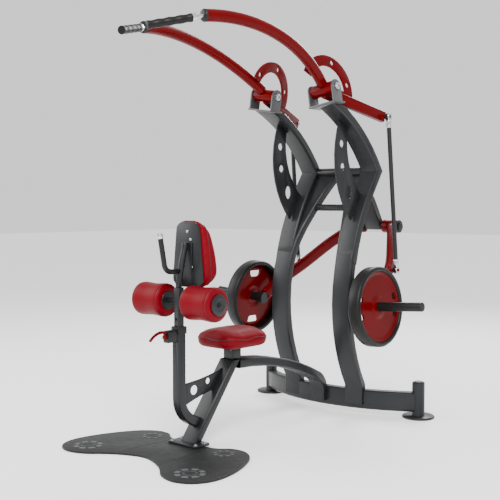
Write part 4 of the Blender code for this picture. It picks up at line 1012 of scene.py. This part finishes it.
@dataclass
class Seat(Assembly):
    """Seat cushion with its seam."""

    centre_y: float = -0.630
    base_z: float = 0.4714
    seam_z: float = 0.520

    def build(self) -> None:
        """Cushion, then the welt round it."""
        low = self.base_z + 0.010

        def keep(rest: Array) -> Array:
            """Hold the underside on its board."""
            return np.clip((low + 0.012 - rest[:, 2]) / 0.012, 0, 1)

        middle = point(0.0, self.centre_y + self.shop.shift, low)

        def swell(rest: Array) -> Array:
            """Let the sides out a little and raise a ridge along the middle of the top."""
            local = rest - middle
            side = np.clip(1 - np.abs(local[:, 2] - 0.028) / 0.05, 0, 1)[:, None] * (0.095, 0.095, 0)
            top = np.clip(local[:, 2] / 0.06, 0, 1)
            ridge = np.exp(-(local[:, 0] / 0.085) ** 2) * top ** 2 * 0.009
            return rest + local * side + ridge[:, None] * Z_AXIS

        pad = self.refiner.cushion("seat_cushion", VINYL, 0.005, 0.004, keep, swell)
        place = frame_matrix(X_AXIS, Y_AXIS, Z_AXIS, point(0, self.centre_y, self.seam_z))
        seam(self.shop, "seat_seam", pad, "frame", place, 0.0021, 0.004)


def seam(shop: Workshop, name: str, pad: bpy.types.Object, body: str, place: Array,
         radius: float, wave: float) -> None:
    """A welt sewn round a pad where a plane crosses it.

    Rays run inwards on the plane from all sides; the welt follows the points that they hit, with a
    slow ripple of the sewing.

    Args:
        shop: Workshop that makes the piece.
        name: Its name.
        pad: Pad that it runs round.
        body: Body that it rides on.
        place: Plane of the seam, its third axis square to it.
        radius: Radius of the welt.
        wave: Height of the ripple.
    """
    turn = np.linspace(0, 2 * math.pi, 200, endpoint=False)
    origin = place[:3, 3] + Y_AXIS * shop.shift
    hits = []
    for angle in turn:
        spoke = place[:3, 0] * math.cos(angle) + place[:3, 1] * math.sin(angle)
        start = origin + spoke * 0.5 + place[:3, 2] * wave * math.sin(6 * angle)
        found, spot, normal, _ = pad.ray_cast(start.tolist(), (-spoke).tolist())
        if found:
            hits.append(np.array(spot) + np.array(normal) * radius * 0.25)
    loop = np.array(hits) - Y_AXIS * shop.shift
    runs = unit(np.roll(loop, -1, 0) - np.roll(loop, 1, 0))
    side = unit(np.cross(runs, place[:3, 2]))
    rise = np.cross(side, runs)
    section = ring(radius, 10)
    grid = loop[:, None] + side[:, None] * section[None, :, :1] + rise[:, None] * section[None, :, 1:]
    # The welt's darker colour is painted shade along the seam's crease.
    shop.add(name, [(grid.reshape(-1, 3), quads(len(loop), 10, wrap_rows=True))], WELT_PAINTED_SHADE, body)


@dataclass
class ThighUnit(Assembly):
    """Sliding post, rollers, chest pad, support handle, collar sleeve and locking pin."""

    post_y: float = -1.017
    roller_z: float = 0.732
    roller_in: float = 0.074
    roller_length: float = 0.194
    roller_radius: float = 0.084
    pad_front: float = -0.957
    pad_plate: float = 0.010
    post_top: float = 0.605
    axle_end: float = 0.2822

    def build(self) -> None:
        """Steel parts first, then the soft ones."""
        for node in ("sliding_post", "pad_arm", "pad_plate"):
            self.refiner.refine(node, POWDER)
        self.refiner.refine("support_handle", PLASTIC)
        self.refiner.refine("roller_axle", POWDER, 0.001)
        self.refiner.refine("pin_housing", PLASTIC, 0.002)
        self.refiner.refine("pin_plunger", ENAMEL, 0.0006)
        for side, sign in SIDES:
            self.roller(side, sign)
        self.sleeve()
        self.chest_pad()
        self.small_parts()

    def roller(self, side: str, sign: float) -> None:
        """Foam roller in leatherette, drawn in at its ends and slightly waisted, with its caps.

        Formula: radius = R - 0.004 sin(pi s)^2, rounded into both ends by a quarter ellipse, with
        shallow gathers of the cover near the ends.

        Args:
            side: Side of the machine.
            sign: 1 for the right, -1 for the left.
        """
        shop = self.shop
        near = point(sign * (self.roller_in + 0.0004), self.post_y, self.roller_z)
        out = X_AXIS * sign
        length, radius, edge = self.roller_length - 0.0008, self.roller_radius, 0.022
        s = np.linspace(0, 1, 40)
        waist = 0.004 * np.sin(math.pi * s) ** 2
        straight = np.column_stack((edge + s * (length - 2 * edge), radius - waist))
        turn = np.linspace(0, math.pi / 2, 12)
        low = np.column_stack((edge * (1 - np.sin(turn)), radius - 0.030 + 0.030 * np.cos(turn)))[::-1]
        high = np.column_stack((length - low[::-1, 0], low[::-1, 1]))
        profile = np.concatenate((points((0.006, 0.014), (0.003, 0.040)), low, straight[1:-1], high,
                                  points((length - 0.003, 0.040), (length - 0.006, 0.014))))
        verts, faces = lathed(profile, near, out, 96, bored=True)
        obj = shop.add("roller_foam_" + side, [(verts, faces)], VINYL, "roller_" + side,
                       ("thigh_roller_" + side,), angle=60)
        self.gather(obj, near, out, length)
        seams: list[Shape] = []
        for along in (edge * 0.55, length - edge * 0.55):
            loop = points((-0.0016, 0), (0, 0.0016), (0.0016, 0), (0, -0.0016))
            centre = np.interp(along, profile[2:-2, 0], profile[2:-2, 1])
            seams.append(lathed(loop + (along, centre), near, out, 96, bored=True))
        # The seam rings' darker colour is painted shade in the creases at the roller's ends.
        shop.add("roller_seams_" + side, seams, WELT_PAINTED_SHADE, "roller_" + side)
        end = near + out * (length + 0.0006)
        cap = points((0, 0.014), (0, 0.050), (0.003, 0.052), (0.0065, 0.0515), (0.0095, 0.047),
                     (0.010, 0.032), (0.0075, 0.028), (0.0075, 0.014))
        shop.add("roller_end_" + side, [lathed(cap, end, out, 64, bored=True)], POWDER, "roller_" + side,
                 ("roller_cap_" + side,))
        inner = points((0, 0.0135), (0, 0.046), (0.003, 0.048), (0.005, 0.046), (0.005, 0.0135))
        shape = lathed(inner, near + out * 0.0005, -out, 64, bored=True)
        shop.add("roller_inner_cap_" + side, [shape], PLASTIC, "roller_" + side)
        tip = point(sign * self.axle_end, self.post_y, self.roller_z)
        shop.add("axle_nut_" + side, bolt(tip, out, 0.006, 0.004), PLASTIC, "thigh_unit")

    @staticmethod
    def gather(obj: bpy.types.Object, near: Array, out: Array, length: float) -> None:
        """Ripple the cover with shallow gathers that fade towards the middle.

        Formula: each point moves along its radius by 0.0011 * fade * (sin 19a + 0.6 sin(31a + 1.3)).

        Args:
            obj: The roller's cover.
            near: Middle of its inner end.
            out: Direction of its axis.
            length: Its length.
        """
        at = vertices(obj)
        centre = near + Y_AXIS * SHIFT_Y
        along = (at - centre) @ out
        radial = at - centre - along[:, None] * out
        size = np.linalg.norm(radial, axis=1)
        angle = np.arctan2(radial[:, 2], radial[:, 1])
        fade = np.exp(-np.minimum(along, length - along) / 0.018)
        depth = 0.0011 * fade * (np.sin(19 * angle) + 0.6 * np.sin(31 * angle + 1.3)) * (size > 0.05)
        set_vertices(obj, at + radial / np.maximum(size, 1e-6)[:, None] * depth[:, None])

    def sleeve(self) -> None:
        """Moulded collar on top of the fixed post, open for the sliding post."""
        outer, inner = rounded_box(0.058, 0.058, 0.007), rounded_box(0.0405, 0.0405, 0.003)
        rows = []
        for z, section in ((-0.032, outer), (-0.001, outer), (0.0035, outer * 0.97), (0.0035, inner),
                           (0.0006, inner)):
            rows.append(np.column_stack((section, np.full(len(section), z))))
        wall = rounded_box(0.0506, 0.0506, 0.005)
        rows.append(np.column_stack((wall, np.full(len(wall), 0.0006))))
        rows.append(np.column_stack((wall, np.full(len(wall), -0.032))))
        grid = np.stack(rows) + point(0, self.post_y, self.post_top)
        shape = (grid.reshape(-1, 3), quads(len(rows), grid.shape[1], wrap_rows=True))
        self.shop.add("post_collar", [shape], PLASTIC, "frame", angle=30)

    def chest_pad(self) -> None:
        """Pad blown up against its board, and its seam."""
        back = self.pad_front + self.pad_plate + self.shop.shift

        def keep(rest: Array) -> Array:
            """Hold the face that lies on the board."""
            return np.clip((back + 0.014 - rest[:, 1]) / 0.012, 0, 1)

        def swell(rest: Array) -> Array:
            """Fill the shoulders of the dome, most where the pad is deepest."""
            depth = np.clip((rest[:, 1] - back) / 0.094, 0, 1)
            height = (rest[:, 2] - 0.940) / 0.190
            full = np.sin(math.pi * np.clip(depth, 0, 1) * 0.75) * np.clip(1 - height ** 2, 0, 1)
            wide = rest[:, 0] * 0.34 * full
            deep = 0.015 * np.clip(depth * 3, 0, 1) * np.clip(1 - 0.8 * height ** 2, 0, 1)
            return rest + wide[:, None] * X_AXIS + deep[:, None] * Y_AXIS

        pad = self.refiner.cushion("chest_pad", VINYL, 0.005, 0.004, keep, swell)
        place = frame_matrix(X_AXIS, Z_AXIS, -Y_AXIS, point(0, self.pad_front + 0.038, 0.955))
        seam(self.shop, "chest_seam", pad, "thigh_unit", place, 0.002, 0.0)

    def small_parts(self) -> None:
        """Screws and rib of the pad board, and the handle's cap."""
        shapes: list[Shape] = []
        for x, z in ((0.0, 1.075), (0.022, 1.035), (0.030, 0.900), (-0.030, 0.900)):
            shapes += socket_screw(point(x, self.pad_front - 0.0003, z), -Y_AXIS, 0.0075)
        self.shop.add("pad_screws", shapes, ZINC, "thigh_unit")
        rib_y = self.pad_front - 0.0035
        rib = swept(points((0.030, rib_y, 0.875), (0.030, rib_y, 1.020)), rounded_box(0.012, 0.007, 0.002))
        self.shop.add("pad_rib", [rib], POWDER, "thigh_unit")
        top = point(0.0, self.post_y - 0.126, 1.068)
        lean = unit(point(0.0, -0.028, 0.143))
        knob = points((-0.020, 0.0136), (-0.019, 0.0142), (0.000, 0.0142), (0.003, 0.0125),
                      (0.0042, 0.008), (0.0045, 0.002))
        shape = lathed(knob, top - lean * 0.0035, lean, 48)
        self.shop.add("handle_cap", [shape], CHROME, "thigh_unit")


@dataclass
class FootDeck(Assembly):
    """Cloverleaf deck with its inlays and centre panel seams."""

    top: float = 0.010

    def build(self) -> None:
        """Deck plate and the slotted grip rings on it."""
        self.refiner.refine("foot_platform", DECK, 0.0012)
        shapes: list[Shape] = []
        for sign in (1.0, -1.0):
            for x, y in ((0.36, -1.300), (0.255, -0.966)):
                shapes += self.slotted_ring(x * sign, y, 0.072 if y < -1.1 else 0.052)
        self.shop.add("deck_inlays", shapes, DECK_PAD, "frame", angle=40)
        lines: list[Shape] = []
        for sign in (1.0, -1.0):
            path = points((0.155 * sign, -1.285, self.top), (0.155 * sign, -1.20, self.top),
                          (0.130 * sign, -0.96, self.top))
            lines.append(swept(path, rounded_box(0.003, 0.0012, 0.0005)))
        self.shop.add("deck_seams", lines, RUBBER, "frame")

    def slotted_ring(self, x: float, y: float, radius: float) -> list[Shape]:
        """Eight curved bars of grip coat that make a broken ring round two thin rims.

        Args:
            x: Middle of the ring.
            y: Middle of the ring.
            radius: Outer radius of the bars.

        Returns:
            The bars and the rims.
        """
        shapes: list[Shape] = []
        for start in range(8, 360, 45):
            outer = arc((x, y), radius, math.radians(start), math.radians(start + 30), 10)
            inner = arc((x, y), radius * 0.66, math.radians(start + 30), math.radians(start), 10)
            shapes.append(extruded(np.concatenate((outer, inner)), 0.0012, level(self.top + 0.0005)))
        for reach in (0.50, 0.40):
            outer, inner = radius * reach, radius * (reach - 0.03)
            rim = points((-0.0001, outer), (0.0011, outer), (0.0011, inner), (-0.0001, inner))
            shapes.append(lathed(rim, point(x, y, self.top), Z_AXIS, 40, bored=True))
        return shapes


# ---- studio
@dataclass
class Studio:
    """Pale floor, soft light and the camera."""

    camera_at: Place = (3.181, -3.7405, 1.204)
    camera_turn: Place = (87.15, 0.0, 41.53)
    lens: float = 64.7
    floor_size: float = 60.0

    def build(self) -> None:
        """Floor, lights, world and camera."""
        self.floor()
        self.light("key", (2.6, -3.4, 4.2), 2.4, 330.0)
        self.light("fill", (-3.8, -2.4, 3.0), 3.0, 130.0)
        self.light("rim", (-1.2, 4.0, 3.8), 2.6, 200.0)
        world = bpy.data.worlds.new("studio")
        world.use_nodes = True
        world.node_tree.nodes["Background"].inputs["Color"].default_value = linear("#ffffff")
        world.node_tree.nodes["Background"].inputs["Strength"].default_value = 1.1
        bpy.context.scene.world = world
        camera = bpy.data.cameras.new("camera")
        camera.lens = self.lens
        camera.sensor_width = 36.0
        holder = linked("camera", camera)
        holder.location = self.camera_at
        holder.rotation_euler = [math.radians(a) for a in self.camera_turn]
        bpy.context.scene.camera = holder

    def floor(self) -> None:
        """A large pale floor."""
        half = self.floor_size / 2
        data = bpy.data.meshes.new("studio_floor")
        corners = [(-half, -half, 0), (half, -half, 0), (half, half, 0), (-half, half, 0)]
        data.from_pydata(corners, [], [(0, 1, 2, 3)])
        paper = bpy.data.materials.new("studio_paper")
        paper.use_nodes = True
        shader = paper.node_tree.nodes["Principled BSDF"]
        shader.inputs["Base Color"].default_value = linear("#fbfbfb")
        shader.inputs["Roughness"].default_value = 0.7
        shader.inputs["Emission Color"].default_value = linear("#ffffff")
        shader.inputs["Emission Strength"].default_value = 0.28
        data.materials.append(paper)
        linked("studio_floor", data)

    def light(self, name: str, place: Place, size: float, power: float) -> None:
        """One square softbox turned to the middle of the machine.

        Args:
            name: Its name.
            place: Where it hangs.
            size: Length of its sides.
            power: Its power in watts.
        """
        lamp = bpy.data.lights.new(name, "AREA")
        lamp.size = size
        lamp.energy = power
        obj = linked(name, lamp)
        obj.location = place
        aim = Vector((0, 0, 1.0)) - Vector(place)
        obj.rotation_euler = aim.to_track_quat("-Z", "Y").to_euler()


def main() -> None:
    """Build every sub-assembly."""
    logging.basicConfig(level=logging.INFO)
    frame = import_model()
    shop = Workshop()
    refiner = Refiner(frame, shop)
    FrameWeldment(refiner).build()
    for side, sign in SIDES:
        PressArm(refiner, side, sign).build()
        WeightLever(refiner, side, sign, wide_windows=side == "left").build()
    Seat(refiner).build()
    ThighUnit(refiner).build()
    FootDeck(refiner).build()
    Studio().build()
    left = sorted(set(frame["nodes"]) - shop.replaced)
    LOG.info("%d pieces made, nodes still shown: %s", shop.made, left)


if __name__ == "__main__":
    main()
